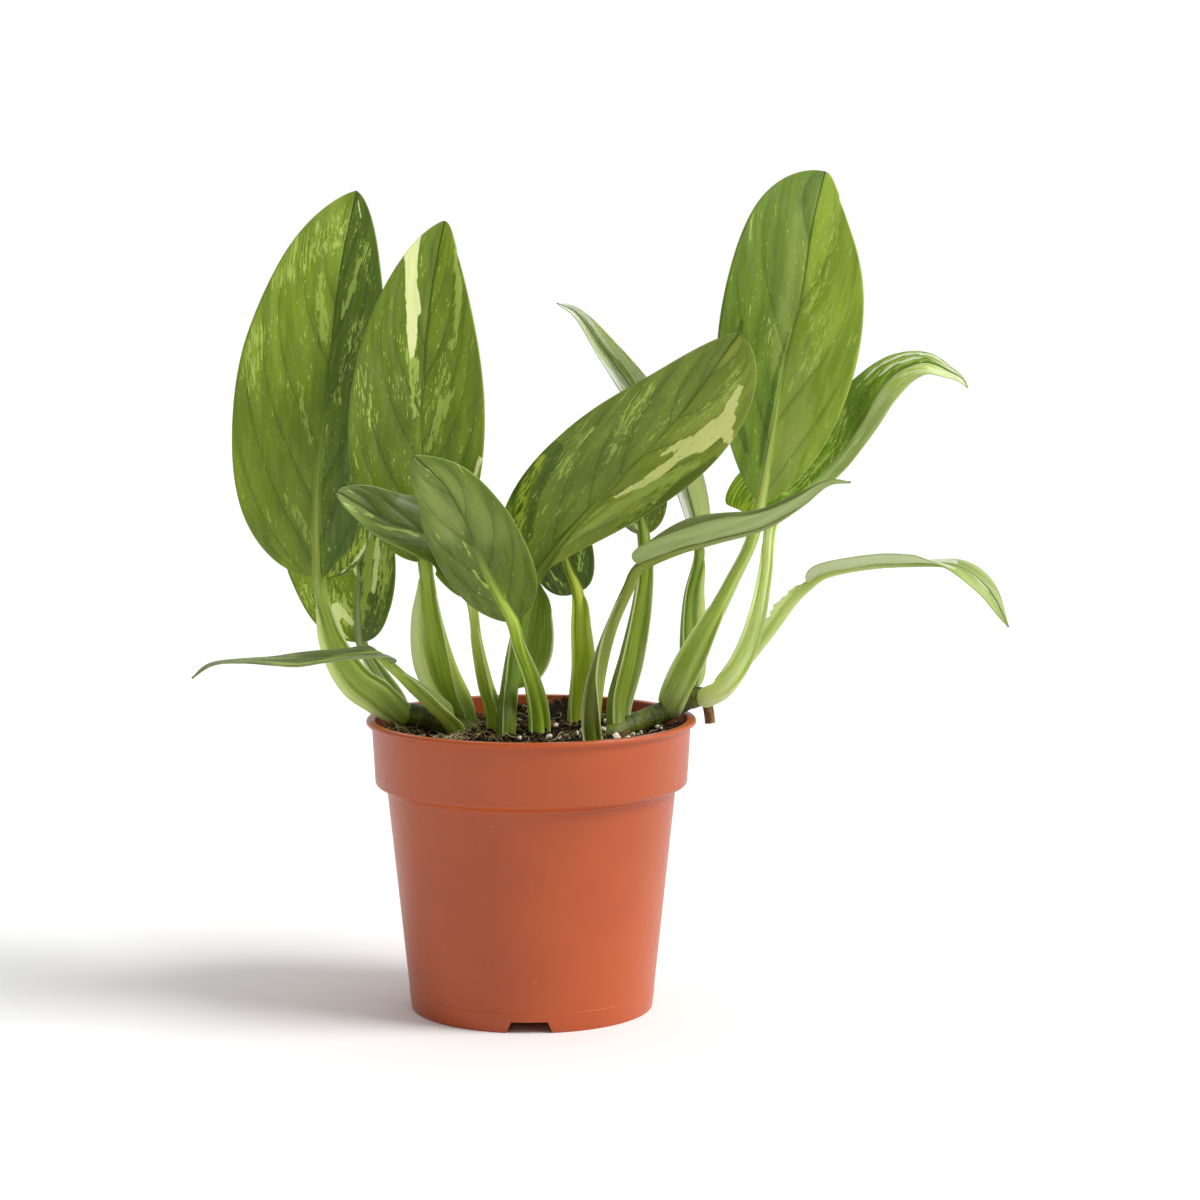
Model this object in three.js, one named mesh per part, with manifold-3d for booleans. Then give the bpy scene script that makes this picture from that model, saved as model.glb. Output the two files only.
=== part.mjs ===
// A variegated monstera standleyana in a 12 cm nursery pot, in millimetres.
// +Z is up, +X is to the viewer's right and the viewer looks along +Y.
// The origin is the middle of the pot's base, on the surface that it stands on.

import * as THREE from "three";
import { mergeVertices } from "three/addons/utils/BufferGeometryUtils.js";
import Module from "manifold-3d";

const wasm = await Module();
wasm.setup();

// Clearance between pieces that touch, and the distance at which two corners are one.
const GAP = 0.3;
const TOUCHING = 1e-4;

// The pot: outer radii and heights from the base up.
const POT_HEIGHT = 106.5;
const RIM_RADIUS = 60;
const LIP_HEIGHT = 3;
const LIP_ROUND = 0.4;
const COLLAR_TOP_RADIUS = 58;
const COLLAR_FOOT_RADIUS = 56.8;
const COLLAR_FOOT_HEIGHT = 83;
const BODY_TOP_RADIUS = 52.6;
const BODY_TOP_HEIGHT = 81;
const BASE_RADIUS = 44.2;
const WALL = 1.3;
const FLOOR_HEIGHT = 4.5;
const POT_SEGMENTS = 40;

// The middle of the floor is pressed down to the level that the pot stands on.
const STAND_RADIUS = 16;
const STAND_SLOPE = 4;

// Three notches in the foot ring let water out, and holes in the floor feed them.
const NOTCH_COUNT = 3;
const NOTCH_HEIGHT = 4.1;
const NOTCH_TOP_WIDTH = 13;
const NOTCH_FOOT_WIDTH = 17.7;
const NOTCH_DEPTH = 8;
const DRAIN_COUNT = 8;
const DRAIN_RADIUS = 3;
const DRAIN_CIRCLE_RADIUS = 32;
const DRAIN_SEGMENTS = 12;

// The soil: its mean level, its lumps and a mound against the back wall.
const SOIL_LEVEL = 100.5;
const SOIL_LUMPS = { height: 1.1, across: 7, along: 6 };
const SOIL_CLODS = { height: 0.66, across: 3.7, along: 5 };
const SOIL_MOUND = { x: 14, y: 44, height: 6, spread: 11 };
const SOIL_RINGS = 6;
const SOIL_SEGMENTS = 32;

// Blades: sheet thickness and how finely a blade is divided.
const BLADE_THICKNESS = 0.8;
const BLADE_ROWS = 14;
const HALF_COLUMNS = 3;
const SECTION_STEPS = 6;
const BLADE_END_HALF_WIDTH = 0.5;

// Petioles: a round back, drawn through these angles in degrees, and two sheath wings beside a
// groove. The wings rise at an angle, and swell more quickly than they fade.
const PETIOLE_RINGS = 9;
const PETIOLE_BACK = [20, -25, -65, -115, -155, -200];
const PETIOLE_TAPER_END = 0.8;
const WING_THICKNESS = 0.9;
const WING_RISE = 38;
const WING_LEAN = 0.8;
const WING_FULLNESS = 0.6;
const GROOVE_HALF_WIDTH = 0.45;
const GROOVE_RISE = 0.62;
const CURVE_DIVISIONS = 40;

// Stems and the root: how finely they are divided, and how a stem swells at its rings and rounds
// off towards its ends.
const STEM_SIDES = 12;
const STEM_RINGS = 14;
const STEM_SWELL = 0.06;
const STEM_END_SHARE = 0.1;
const STEM_END_GIRTH = 0.45;
const ROOT_SIDES = 8;
const ROOT_RINGS = 3;

const LEAF_GREEN = { color: 0x4f7031, roughness: 0.42, metalness: 0 };
const PETIOLE_GREEN = { color: 0x86a54a, roughness: 0.5, metalness: 0 };
const STEM_GREEN = { color: 0x4a6333, roughness: 0.6, metalness: 0 };
const SOIL_BROWN = { color: 0x2c2019, roughness: 1, metalness: 0 };
const TERRACOTTA = { color: 0xb9633f, roughness: 0.55, metalness: 0 };

// Every leaf. Its petiole runs from the foot to the blade's base and its midrib from there to the tip.
// facing is the way the blade's upper side looks, spread evenly from base to tip, and petioleFacing
// the way the open side of the sheath looks at the foot. left and right are the blade's halves seen
// from the upper side with the tip up: the width, the powers of the outline at base and tip, and in
// degrees the fold beside the midrib at base and tip and the further curl out to the margin. wave is
// the waving of the margin, girth the petiole's radius at foot and neck, and wings the height of the
// sheath's left and right wing and the share of the petiole where they start and end.
const LEAVES = {
  left_tall: {
    petiole: [[-48, 2, 108], [-54, 2, 114], [-61, 1, 120], [-68, 0, 130], [-73, -1, 141]],
    midrib: [
      [-77, -2, 158], [-77, -2, 186], [-75, -1, 210],
      [-72, 4, 240], [-69, 13, 269], [-64, 26, 297],
    ],
    facing: [[0, -1, 0], [-0.1, -1, 0.1], [0, -1, 0.3]],
    petioleFacing: [-0.4, -0.7, 0.5],
    left: { width: 33, base: 0.5, tip: 0.72, fold: [4, 4], curl: 4 },
    right: { width: 28, base: 0.35, tip: 0.7, fold: [26, 26], curl: 6 },
    wave: { height: 1.2, count: 2.5, start: 0.2 },
    girth: [4.8, 2.5],
    wings: { left: 5, right: 1.5, start: 0, end: 0.85 },
  },
  left_inner: {
    petiole: [[-24, 3, 103], [-26, 2, 112], [-30, -5, 124], [-34, -15, 143]],
    midrib: [
      [-37, -26, 166], [-39, -22, 198], [-38, -19, 225],
      [-36, -16, 251], [-33, -13, 272], [-30, -10, 286],
    ],
    facing: [[0, -1, 0], [0, -1, 0.1]],
    petioleFacing: [-0.8, -0.6, 0.2],
    left: { width: 26, base: 0.5, tip: 0.75, fold: [14, 14], curl: 4 },
    right: { width: 24, base: 0.5, tip: 0.85, fold: [14, 14], curl: 4 },
    wave: { height: 1, count: 2, start: 0.6 },
    girth: [4.6, 2.6],
    wings: { left: 7, right: 3, start: 0, end: 0.93 },
  },
  mid_small: {
    petiole: [[-14, 6, 91], [-13, 5, 106], [-16, -7, 121], [-19, -19, 138]],
    midrib: [
      [-21, -27, 154], [-28, -33, 170], [-37, -39, 177],
      [-49, -44, 182], [-58, -48, 188], [-66, -51, 193],
    ],
    facing: [[-0.2, -0.8, 0.5], [0.1, -0.8, 0.6]],
    petioleFacing: [-0.5, -0.8, 0.2],
    left: { width: 10, base: 0.5, tip: 0.6, fold: [10, 10], curl: 4 },
    right: { width: 13, base: 0.5, tip: 0.6, fold: [10, 10], curl: 4 },
    wave: { height: 0.6, count: 2, start: 0.1 },
    girth: [2.6, 1.8],
    wings: { left: 1.5, right: 1.5, start: 0, end: 0.8 },
  },
  mid_front: {
    petiole: [[2, 3, 91], [2, 0, 106], [0, -10, 121], [-4, -19, 135]],
    midrib: [[-6, -26, 145], [-14, -34, 161], [-21, -43, 180], [-28, -49, 194], [-39, -55, 206]],
    facing: [[0, -1, 0.2], [0, -1, 0.4]],
    petioleFacing: [0.4, -0.8, 0.2],
    left: { width: 15.5, base: 0.7, tip: 0.55, fold: [10, 10], curl: 4 },
    right: { width: 17, base: 0.4, tip: 0.8, fold: [10, 10], curl: 4 },
    wave: { height: 0.6, count: 2, start: 0.4 },
    girth: [3.4, 2.3],
    wings: { left: 1.5, right: 2, start: 0, end: 0.85 },
  },
  mid_long: {
    petiole: [[-9, -6, 91], [-9, -8, 102], [-8, -4, 116], [-6, 1, 131], [-2, 4, 147]],
    midrib: [[2, 5, 158], [11, 0, 171], [31, -6, 193], [53, -14, 217], [74, -24, 247]],
    facing: [[0.1, -1, 0.1], [0, -1, 0.2]],
    petioleFacing: [0.8, -0.5, 0.1],
    left: { width: 27, base: 0.35, tip: 0.8, fold: [6, 6], curl: 4 },
    right: { width: 21, base: 1, tip: 0.45, fold: [12, 12], curl: 4 },
    wave: { height: 1, count: 2, start: 0 },
    girth: [4, 2.6],
    wings: { left: 2, right: 10, start: 0.4, end: 0.97 },
  },
  mid_back: {
    petiole: [[16, 18, 92], [16, 19, 106], [17, 16, 122], [17, 13, 137]],
    midrib: [[17, 11, 151], [13, 13, 161], [8, 16, 181], [3, 18, 201]],
    facing: [[0, -1, 0.2], [0, -1, 0.3]],
    petioleFacing: [0.6, -0.8, 0],
    left: { width: 13, base: 0.4, tip: 0.8, fold: [6, 6], curl: 4 },
    right: { width: 11, base: 0.4, tip: 0.8, fold: [6, 6], curl: 4 },
    wave: { height: 0.5, count: 2, start: 0 },
    girth: [3.2, 2.3],
    wings: { left: 2, right: 4, start: 0, end: 0.95 },
  },
  right_arched: {
    petiole: [[58, 13, 112], [58, 20, 119], [57, 23, 131], [58, 25, 148]],
    midrib: [
      [62, 25, 165], [60, 26, 176], [55, 28, 193], [46, 28, 211],
      [38, 26, 223], [25, 18, 240], [11, 4, 257],
    ],
    facing: [[0.2, -1, 0.1], [0.2, -1, 0.3], [0.2, -0.9, 0.5]],
    petioleFacing: [0.7, -0.7, 0],
    left: { width: 12, base: 0.5, tip: 0.75, fold: [56, 56], curl: 4 },
    right: { width: 13, base: 0.5, tip: 0.75, fold: [56, 56], curl: 4 },
    wave: { height: 0.6, count: 2, start: 0 },
    girth: [3, 2],
    wings: { left: 1.5, right: 4.5, start: 0.1, end: 0.95 },
  },
  right_tall: {
    petiole: [[51, 8, 109], [53, 7, 114], [58, 6, 125], [64, 5, 138], [73, 4, 156], [80, 3, 171]],
    midrib: [[83, 4, 184], [87, 4, 207], [91, 6, 231], [98, 10, 261], [102, 16, 285], [107, 24, 304]],
    facing: [[0, -1, 0], [0, -1, 0.2]],
    petioleFacing: [0.1, -0.6, 0.8],
    left: { width: 28, base: 0.78, tip: 0.55, fold: [10, 10], curl: 4 },
    right: { width: 25.5, base: 0.75, tip: 0.85, fold: [10, 10], curl: 4 },
    wave: { height: 0.8, count: 2, start: 0.2 },
    girth: [4.6, 2.3],
    wings: { left: 2.5, right: 2.5, start: 0, end: 0.5 },
  },
  right_front: {
    petiole: [[23, -22, 92], [22, -25, 103], [24, -25, 123], [29, -26, 143], [35, -27, 157]],
    midrib: [
      [39, -28, 165], [54, -36, 172], [66, -42, 176], [82, -48, 181],
      [95, -53, 189], [104, -56, 196], [111, -58, 197],
    ],
    facing: [[-0.8, 0.2, 0.6], [-0.3, 0.3, 1], [-0.2, 0.2, 1]],
    petioleFacing: [0.2, -0.5, 0.6],
    left: { width: 11, base: 0.4, tip: 0.9, fold: [42, 42], curl: 4 },
    right: { width: 12, base: 0.4, tip: 0.9, fold: [42, 42], curl: 4 },
    wave: { height: 0.6, count: 2, start: 0 },
    girth: [3.2, 2.2],
    wings: { left: 1.5, right: 1.5, start: 0, end: 0.85 },
  },
  right_curved: {
    petiole: [[64, 8, 113], [69, 5, 116], [74, 4, 122], [79, 7, 131], [83, 10, 143], [86, 14, 158]],
    midrib: [
      [88, 20, 175], [98, 22, 184], [109, 26, 197], [118, 30, 211], [125, 32, 225],
      [133, 34, 236], [145, 34, 238], [154, 33, 233], [161, 32, 225],
    ],
    facing: [[-0.8, -0.3, 0.5], [-0.5, -0.8, 0.5], [0.1, -0.8, 0.6]],
    petioleFacing: [0.3, -0.6, 0.7],
    left: { width: 15, base: 0.4, tip: 0.7, fold: [35, -50], curl: -10 },
    right: { width: 17, base: 0.4, tip: 0.7, fold: [40, 10], curl: 4 },
    wave: { height: 0.8, count: 2, start: 0 },
    girth: [4, 2.3],
    wings: { left: 1.5, right: 1.5, start: 0.1, end: 0.9 },
  },
  right_low: {
    petiole: [[66, 14, 113], [72, 20, 117], [80, 22, 126], [89, 17, 138], [96, 9, 149]],
    midrib: [
      [101, 3, 155], [105, 2, 158], [118, -3, 162], [135, -8, 164],
      [153, -13, 163], [163, -16, 156], [171, -18, 142],
    ],
    facing: [[-0.4, 0.1, 0.9], [0, 0.1, 1], [0.7, -0.4, 0.5]],
    petioleFacing: [-0.7, 0, 0.7],
    left: { width: 11, base: 0.4, tip: 0.9, fold: [20, 0], curl: -10 },
    right: { width: 12, base: 0.4, tip: 0.9, fold: [30, -10], curl: 4 },
    wave: { height: 0.5, count: 2, start: 0 },
    girth: [3, 2],
    wings: { left: 2, right: 2.5, start: 0.2, end: 0.9 },
  },
  left_low: {
    petiole: [[-27, -6, 102], [-30, -12, 108], [-36, -14, 114], [-42, -17, 120], [-47, -21, 126]],
    midrib: [
      [-51, -23, 130], [-53, -26, 133], [-58, -29, 133.5], [-69, -33, 133],
      [-84, -38, 132], [-100, -43, 133], [-111, -47, 132], [-117, -50, 128],
    ],
    facing: [[0.4, 0, 1], [0, -0.1, 1], [-0.2, 0, 1]],
    petioleFacing: [0.5, -0.3, 0.8],
    left: { width: 11, base: 0.4, tip: 0.9, fold: [16, 4], curl: -10 },
    right: { width: 11, base: 0.4, tip: 0.9, fold: [10, 4], curl: -14 },
    wave: { height: 0.5, count: 2, start: 0 },
    girth: [3, 2],
    wings: { left: 2.5, right: 2.5, start: 0, end: 0.82 },
  },
  left_back: {
    petiole: [[-48, 10, 107], [-52, 16, 112], [-57, 17, 120]],
    midrib: [[-63, 16, 132], [-64, 17, 142], [-64, 20, 155], [-65, 29, 176], [-63, 47, 201]],
    facing: [[0, -1, 0.2], [0, -1, 0.4]],
    petioleFacing: [0.4, -0.8, 0.4],
    left: { width: 27, base: 0.6, tip: 0.7, fold: [8, 8], curl: 4 },
    right: { width: 18, base: 0.45, tip: 0.8, fold: [35, 35], curl: 4 },
    wave: { height: 0.8, count: 2, start: 0 },
    girth: [3, 2.2],
    wings: { left: 2, right: 2, start: 0, end: 0.9 },
  },
  right_back: {
    petiole: [[31, -1, 101], [31, 2, 112], [35, 5, 128], [39, 9, 146], [41, 12, 160]],
    midrib: [[41, 14, 172], [37, 24, 191], [29, 46, 210]],
    facing: [[0.3, -1, 0.2], [0.2, -0.9, 0.6]],
    petioleFacing: [0.7, -0.6, 0.2],
    left: { width: 12, base: 0.5, tip: 0.8, fold: [10, 10], curl: 4 },
    right: { width: 12, base: 0.5, tip: 0.8, fold: [10, 10], curl: 4 },
    wave: { height: 0.5, count: 2, start: 0 },
    girth: [3.6, 2.4],
    wings: { left: 2, right: 3, start: 0, end: 0.95 },
  },
};

// Creeping stems: the middle line, the radius and the number of rings where leaves grew.
const STEMS = {
  stem_left: {
    path: [[-51, 6, 108], [-44, 4, 107], [-33, 0, 105], [-24, -3, 102], [-17, -5, 95]],
    radius: 4.2,
    rings: 5,
  },
  stem_mid: {
    path: [[-18, 6, 90], [-10, -1, 89], [1, 1, 89], [10, 9, 89], [18, 19, 90]],
    radius: 4.5,
    rings: 4,
  },
  stem_right: {
    path: [
      [22, -22, 90], [25, -11, 97], [32, 0, 102], [42, 6, 105],
      [51, 9, 108.5], [58, 11, 112], [67, 11, 113],
    ],
    radius: 4,
    rings: 8,
  },
};

// A cut root that hangs over the rim below the right stem, and belongs to it.
const ROOT_STUB = { path: [[64, 11, 112], [65, 10, 107], [65.5, 10, 103]], radius: 1.9 };

const vector = (p) => new THREE.Vector3(...p);
const radians = THREE.MathUtils.degToRad;
const lerp = THREE.MathUtils.lerp;

// How far the flat sides of the pot lie inside its circle.
const POT_SAG = RIM_RADIUS * (1 - Math.cos(Math.PI / POT_SEGMENTS));

// A mesh's triangles as a solid, with its shared corners merged.
function solidOf(geometry) {
  const bare = geometry.clone();
  bare.deleteAttribute("normal");
  bare.deleteAttribute("uv");
  const merged = mergeVertices(bare, TOUCHING);
  return new wasm.Manifold(
    new wasm.Mesh({
      numProp: 3,
      vertProperties: merged.attributes.position.array,
      triVerts: new Uint32Array(merged.index.array),
    }),
  );
}

function geometryOf(solid) {
  const mesh = solid.getMesh();
  const geometry = new THREE.BufferGeometry();
  geometry.setAttribute("position", new THREE.BufferAttribute(mesh.vertProperties, 3));
  geometry.setIndex(new THREE.BufferAttribute(mesh.triVerts, 1));
  return geometry;
}

// The largest body of a solid, without the scraps that a cut leaves.
function largestBody(solid) {
  return solid.decompose().reduce((a, b) => (a.volume() > b.volume() ? a : b));
}

// A closed solid through a list of rings, each a loop of as many points, facing out.
function loft(rings) {
  const count = rings[0].length;
  const corners = rings.flat();
  const faces = [];
  for (let r = 0; r + 1 < rings.length; r++)
    for (let i = 0; i < count; i++) {
      const j = (i + 1) % count;
      const a = r * count + i;
      const b = r * count + j;
      faces.push(a, b, b + count, a, b + count, a + count);
    }
  const last = (rings.length - 1) * count;
  for (const [start, flip] of [[0, true], [last, false]]) {
    const shape = rings[start / count];
    const middle = corners.length;
    corners.push(shape.reduce((sum, p) => sum.add(p), new THREE.Vector3()).divideScalar(count));
    for (let i = 0; i < count; i++) {
      const j = (i + 1) % count;
      if (flip) faces.push(middle, start + j, start + i);
      else faces.push(middle, start + i, start + j);
    }
  }
  return closedGeometry(corners, faces);
}

function closedGeometry(corners, faces) {
  const geometry = new THREE.BufferGeometry();
  geometry.setFromPoints(corners);
  geometry.setIndex(faces);
  return geometry;
}

// The right-handed frame of a curve at u: its tangent, the facing square to it, and the side way.
function frameAt(curve, u, facing) {
  const tangent = curve.getTangentAt(u);
  const normal = facing.clone().addScaledVector(tangent, -facing.dot(tangent)).normalize();
  const side = new THREE.Vector3().crossVectors(tangent, normal);
  return { point: curve.getPointAt(u), tangent, normal, side };
}

// The facing at t, from facings spread evenly along the way.
function turned(facings, t) {
  const place = t * (facings.length - 1);
  const index = Math.min(Math.floor(place), facings.length - 2);
  return facings[index].clone().lerp(facings[index + 1], place - index);
}

// Leaf blades

// A half's outline: 0 at base and tip, 1 at its widest.
function outline(t, base, tip) {
  const widest = base / (base + tip);
  return (t / widest) ** base * ((1 - t) / (1 - widest)) ** tip;
}

// Where a half's cross-section lies at a distance from the midrib, and how steep it is there.
function halfSection(distance, half, fold) {
  const step = distance / SECTION_STEPS;
  const steepness = (place) => radians(fold + (half.curl * place) / half.width);
  let across = 0;
  let rise = 0;
  for (let i = 0; i < SECTION_STEPS; i++) {
    across += Math.cos(steepness((i + 0.5) * step)) * step;
    rise += Math.sin(steepness((i + 0.5) * step)) * step;
  }
  return { across, rise, angle: steepness(distance) };
}

// How far the margin's waves lift a point, fading towards the midrib and the blade's ends.
function waveHeight(wave, t, across, fullness) {
  const turn = wave.count * t + wave.start + across / 3;
  return wave.height * across ** 2 * Math.sin(2 * Math.PI * turn) * fullness;
}

// A point of the blade's middle surface, and half of the sheet's thickness square to it.
// across runs from -1 at the left margin to 1 at the right one.
function bladePoint(leaf, frame, t, across) {
  const half = across > 0 ? leaf.right : leaf.left;
  const width = Math.max(half.width * outline(t, half.base, half.tip), BLADE_END_HALF_WIDTH);
  const section = halfSection(Math.abs(across) * width, half, lerp(...half.fold, t));
  const lift = section.rise + waveHeight(leaf.wave, t, across, width / half.width);
  const way = Math.sign(across);
  const middle = frame.point
    .clone()
    .addScaledVector(frame.side, way * section.across)
    .addScaledVector(frame.normal, lift);
  const angle = way * section.angle;
  const square = frame.normal
    .clone()
    .multiplyScalar((Math.cos(angle) * BLADE_THICKNESS) / 2)
    .addScaledVector(frame.side, (-Math.sin(angle) * BLADE_THICKNESS) / 2);
  return { middle, square };
}

// Rows are closer together towards the base and the tip, where the outline turns.
function bladeGeometry(leaf) {
  const curve = new THREE.CatmullRomCurve3(leaf.midrib.map(vector), false, "centripetal");
  const facings = leaf.facing.map(vector);
  const top = [];
  const bottom = [];
  for (let row = 0; row <= BLADE_ROWS; row++) {
    const t = 0.5 - 0.5 * Math.cos((Math.PI * row) / BLADE_ROWS);
    const frame = frameAt(curve, t, turned(facings, t));
    for (let column = -HALF_COLUMNS; column <= HALF_COLUMNS; column++) {
      const { middle, square } = bladePoint(leaf, frame, t, column / HALF_COLUMNS);
      top.push(middle.clone().add(square));
      bottom.push(middle.clone().sub(square));
    }
  }
  return sheetGeometry(top, bottom, BLADE_ROWS, 2 * HALF_COLUMNS);
}

// A closed sheet from two grids of points, split into triangles alike on both faces.
function sheetGeometry(top, bottom, rows, columns) {
  const corners = [...top, ...bottom];
  const under = top.length;
  const at = (row, column) => row * (columns + 1) + column;
  const faces = [];
  for (let row = 0; row < rows; row++)
    for (let column = 0; column < columns; column++) {
      const [a, b] = [at(row, column), at(row, column + 1)];
      const [c, d] = [at(row + 1, column), at(row + 1, column + 1)];
      faces.push(a, b, d, a, d, c);
      faces.push(under + a, under + d, under + b, under + a, under + c, under + d);
    }
  const rim = [];
  for (let column = 0; column < columns; column++) rim.push(at(0, column));
  for (let row = 0; row < rows; row++) rim.push(at(row, columns));
  for (let column = columns; column > 0; column--) rim.push(at(rows, column));
  for (let row = rows; row > 0; row--) rim.push(at(row, 0));
  rim.forEach((a, i) => {
    const b = rim[(i + 1) % rim.length];
    faces.push(a, under + a, under + b, a, under + b, b);
  });
  return closedGeometry(corners, faces);
}

// Petioles

// How the radius and the wings of a petiole change from the foot to the neck.
function petioleSize(leaf, u) {
  const radius = lerp(...leaf.girth, THREE.MathUtils.smoothstep(u, 0, PETIOLE_TAPER_END));
  const { left, right, start, end } = leaf.wings;
  const along = THREE.MathUtils.clamp((u - start) / (end - start), 0, 1);
  const swell = Math.sin(Math.PI * along ** WING_LEAN) ** WING_FULLNESS;
  return { radius, left: left * swell, right: right * swell };
}

// The outer edge of a wing, its inner edge, and the groove beside it. way is -1 on the left.
function wingPoints(way, radius, height, grow) {
  const root = radians(PETIOLE_BACK[0]);
  const rise = radians(WING_RISE);
  const thickness = WING_THICKNESS + 2 * grow;
  const out = radius * Math.cos(root) + (height + grow) * Math.cos(rise);
  const up = radius * Math.sin(root) + (height + grow) * Math.sin(rise);
  return [
    [way * out, up],
    [way * (out - thickness * Math.sin(rise)), up + thickness * Math.cos(rise)],
    [way * radius * GROOVE_HALF_WIDTH, radius * GROOVE_RISE + grow],
  ];
}

// One ring of a petiole, as much larger as grow says.
function petioleRing(frame, size, grow) {
  const radius = size.radius + grow;
  const back = PETIOLE_BACK.map(radians).map((a) => [radius * Math.cos(a), radius * Math.sin(a)]);
  const left = wingPoints(-1, radius, size.left, grow);
  const right = wingPoints(1, radius, size.right, grow).reverse();
  return [...back, ...left, ...right].map(([across, up]) =>
    frame.point.clone().addScaledVector(frame.side, across).addScaledVector(frame.normal, up),
  );
}

// A petiole follows one curve with its midrib, and ends just below the blade.
function petioleGeometry(leaf, grow) {
  const points = [...leaf.petiole, leaf.midrib[0], leaf.midrib[1]].map(vector);
  const curve = new THREE.CatmullRomCurve3(points, false, "centripetal");
  const spans = points.length - 1;
  const lengths = curve.getLengths(CURVE_DIVISIONS * spans);
  const bladeStart = lengths[CURVE_DIVISIONS * (spans - 1)];
  const reach = (bladeStart - GAP) / lengths[CURVE_DIVISIONS * spans];
  const facings = [vector(leaf.petioleFacing), vector(leaf.facing[0])];
  const rings = [];
  for (let r = 0; r <= PETIOLE_RINGS; r++) {
    const u = r / PETIOLE_RINGS;
    const frame = frameAt(curve, u * reach, turned(facings, u));
    rings.push(petioleRing(frame, petioleSize(leaf, u), grow));
  }
  return loft(rings);
}

// Stems and the root

// Rings round a path, as many as count and one more, each with its own radius.
function tubeRings(path, facing, sides, count, radiusAt) {
  const curve = new THREE.CatmullRomCurve3(path.map(vector), false, "centripetal");
  return Array.from({ length: count + 1 }, (_, r) => {
    const frame = frameAt(curve, r / count, facing);
    const radius = radiusAt(r / count);
    return Array.from({ length: sides }, (_, i) => {
      const angle = (-2 * Math.PI * i) / sides;
      return frame.point
        .clone()
        .addScaledVector(frame.side, radius * Math.cos(angle))
        .addScaledVector(frame.normal, radius * Math.sin(angle));
    });
  });
}

function stemRadius(stem, u) {
  const swell = STEM_SWELL * Math.cos(2 * Math.PI * stem.rings * u);
  const end = lerp(STEM_END_GIRTH ** 2, 1, Math.min(u, 1 - u) / STEM_END_SHARE);
  return stem.radius * (1 + swell) * Math.sqrt(Math.min(1, end));
}

function stemGeometry(stem, grow) {
  const radiusAt = (u) => stemRadius(stem, u) + grow;
  return loft(tubeRings(stem.path, new THREE.Vector3(0, 0, 1), STEM_SIDES, STEM_RINGS, radiusAt));
}

function rootGeometry(grow) {
  const radiusAt = () => ROOT_STUB.radius + grow;
  return loft(tubeRings(ROOT_STUB.path, new THREE.Vector3(0, 1, 0), ROOT_SIDES, ROOT_RINGS, radiusAt));
}

// The pot

function revolved(profile, segments) {
  const points = profile.map(([radius, height]) => new THREE.Vector2(radius, height));
  return new THREE.LatheGeometry(points, segments).rotateX(Math.PI / 2);
}

// Inner radius of the wall at a height, up to the collar's foot and above it.
function innerRadius(height) {
  const slope = (BODY_TOP_RADIUS - BASE_RADIUS) / BODY_TOP_HEIGHT;
  const body = BASE_RADIUS + slope * height - WALL;
  if (height <= BODY_TOP_HEIGHT) return body;
  const step = Math.min(1, (height - BODY_TOP_HEIGHT) / (COLLAR_FOOT_HEIGHT - BODY_TOP_HEIGHT));
  const rise = (height - COLLAR_FOOT_HEIGHT) / (POT_HEIGHT - COLLAR_FOOT_HEIGHT);
  const collar = lerp(COLLAR_FOOT_RADIUS, COLLAR_TOP_RADIUS, Math.max(0, rise)) - WALL;
  return lerp(body, collar, step);
}

// The wall from the middle of the base out, up its outside, over the lip and down its inside.
function potGeometry() {
  const floorTop = FLOOR_HEIGHT + WALL;
  const lipFoot = POT_HEIGHT - LIP_HEIGHT;
  const profile = [
    [0, 0],
    [STAND_RADIUS, 0],
    [STAND_RADIUS + STAND_SLOPE, FLOOR_HEIGHT],
    [innerRadius(FLOOR_HEIGHT), FLOOR_HEIGHT],
    [BASE_RADIUS - WALL, 0],
    [BASE_RADIUS, 0],
    [BODY_TOP_RADIUS, BODY_TOP_HEIGHT],
    [COLLAR_FOOT_RADIUS - LIP_ROUND, COLLAR_FOOT_HEIGHT],
    [COLLAR_FOOT_RADIUS, COLLAR_FOOT_HEIGHT + 2 * LIP_ROUND],
    [COLLAR_TOP_RADIUS, lipFoot],
    [RIM_RADIUS - LIP_ROUND, lipFoot + LIP_ROUND],
    [RIM_RADIUS, lipFoot + 3 * LIP_ROUND],
    [RIM_RADIUS - LIP_ROUND, POT_HEIGHT - LIP_ROUND],
    [RIM_RADIUS - 2 * LIP_ROUND, POT_HEIGHT],
    [innerRadius(POT_HEIGHT), POT_HEIGHT - LIP_ROUND],
    [innerRadius(COLLAR_FOOT_HEIGHT), COLLAR_FOOT_HEIGHT],
    [innerRadius(BODY_TOP_HEIGHT), BODY_TOP_HEIGHT],
    [innerRadius(floorTop), floorTop],
    [STAND_RADIUS + STAND_SLOPE - WALL / 2, floorTop],
    [STAND_RADIUS - WALL / 2, WALL],
    [0, WALL],
  ];
  let pot = solidOf(revolved(profile, POT_SEGMENTS));
  for (let i = 0; i < NOTCH_COUNT; i++) pot = pot.subtract(solidOf(notchGeometry(i)));
  for (let i = 0; i < DRAIN_COUNT; i++) pot = pot.subtract(solidOf(drainGeometry(i)));
  return geometryOf(largestBody(pot));
}

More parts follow.
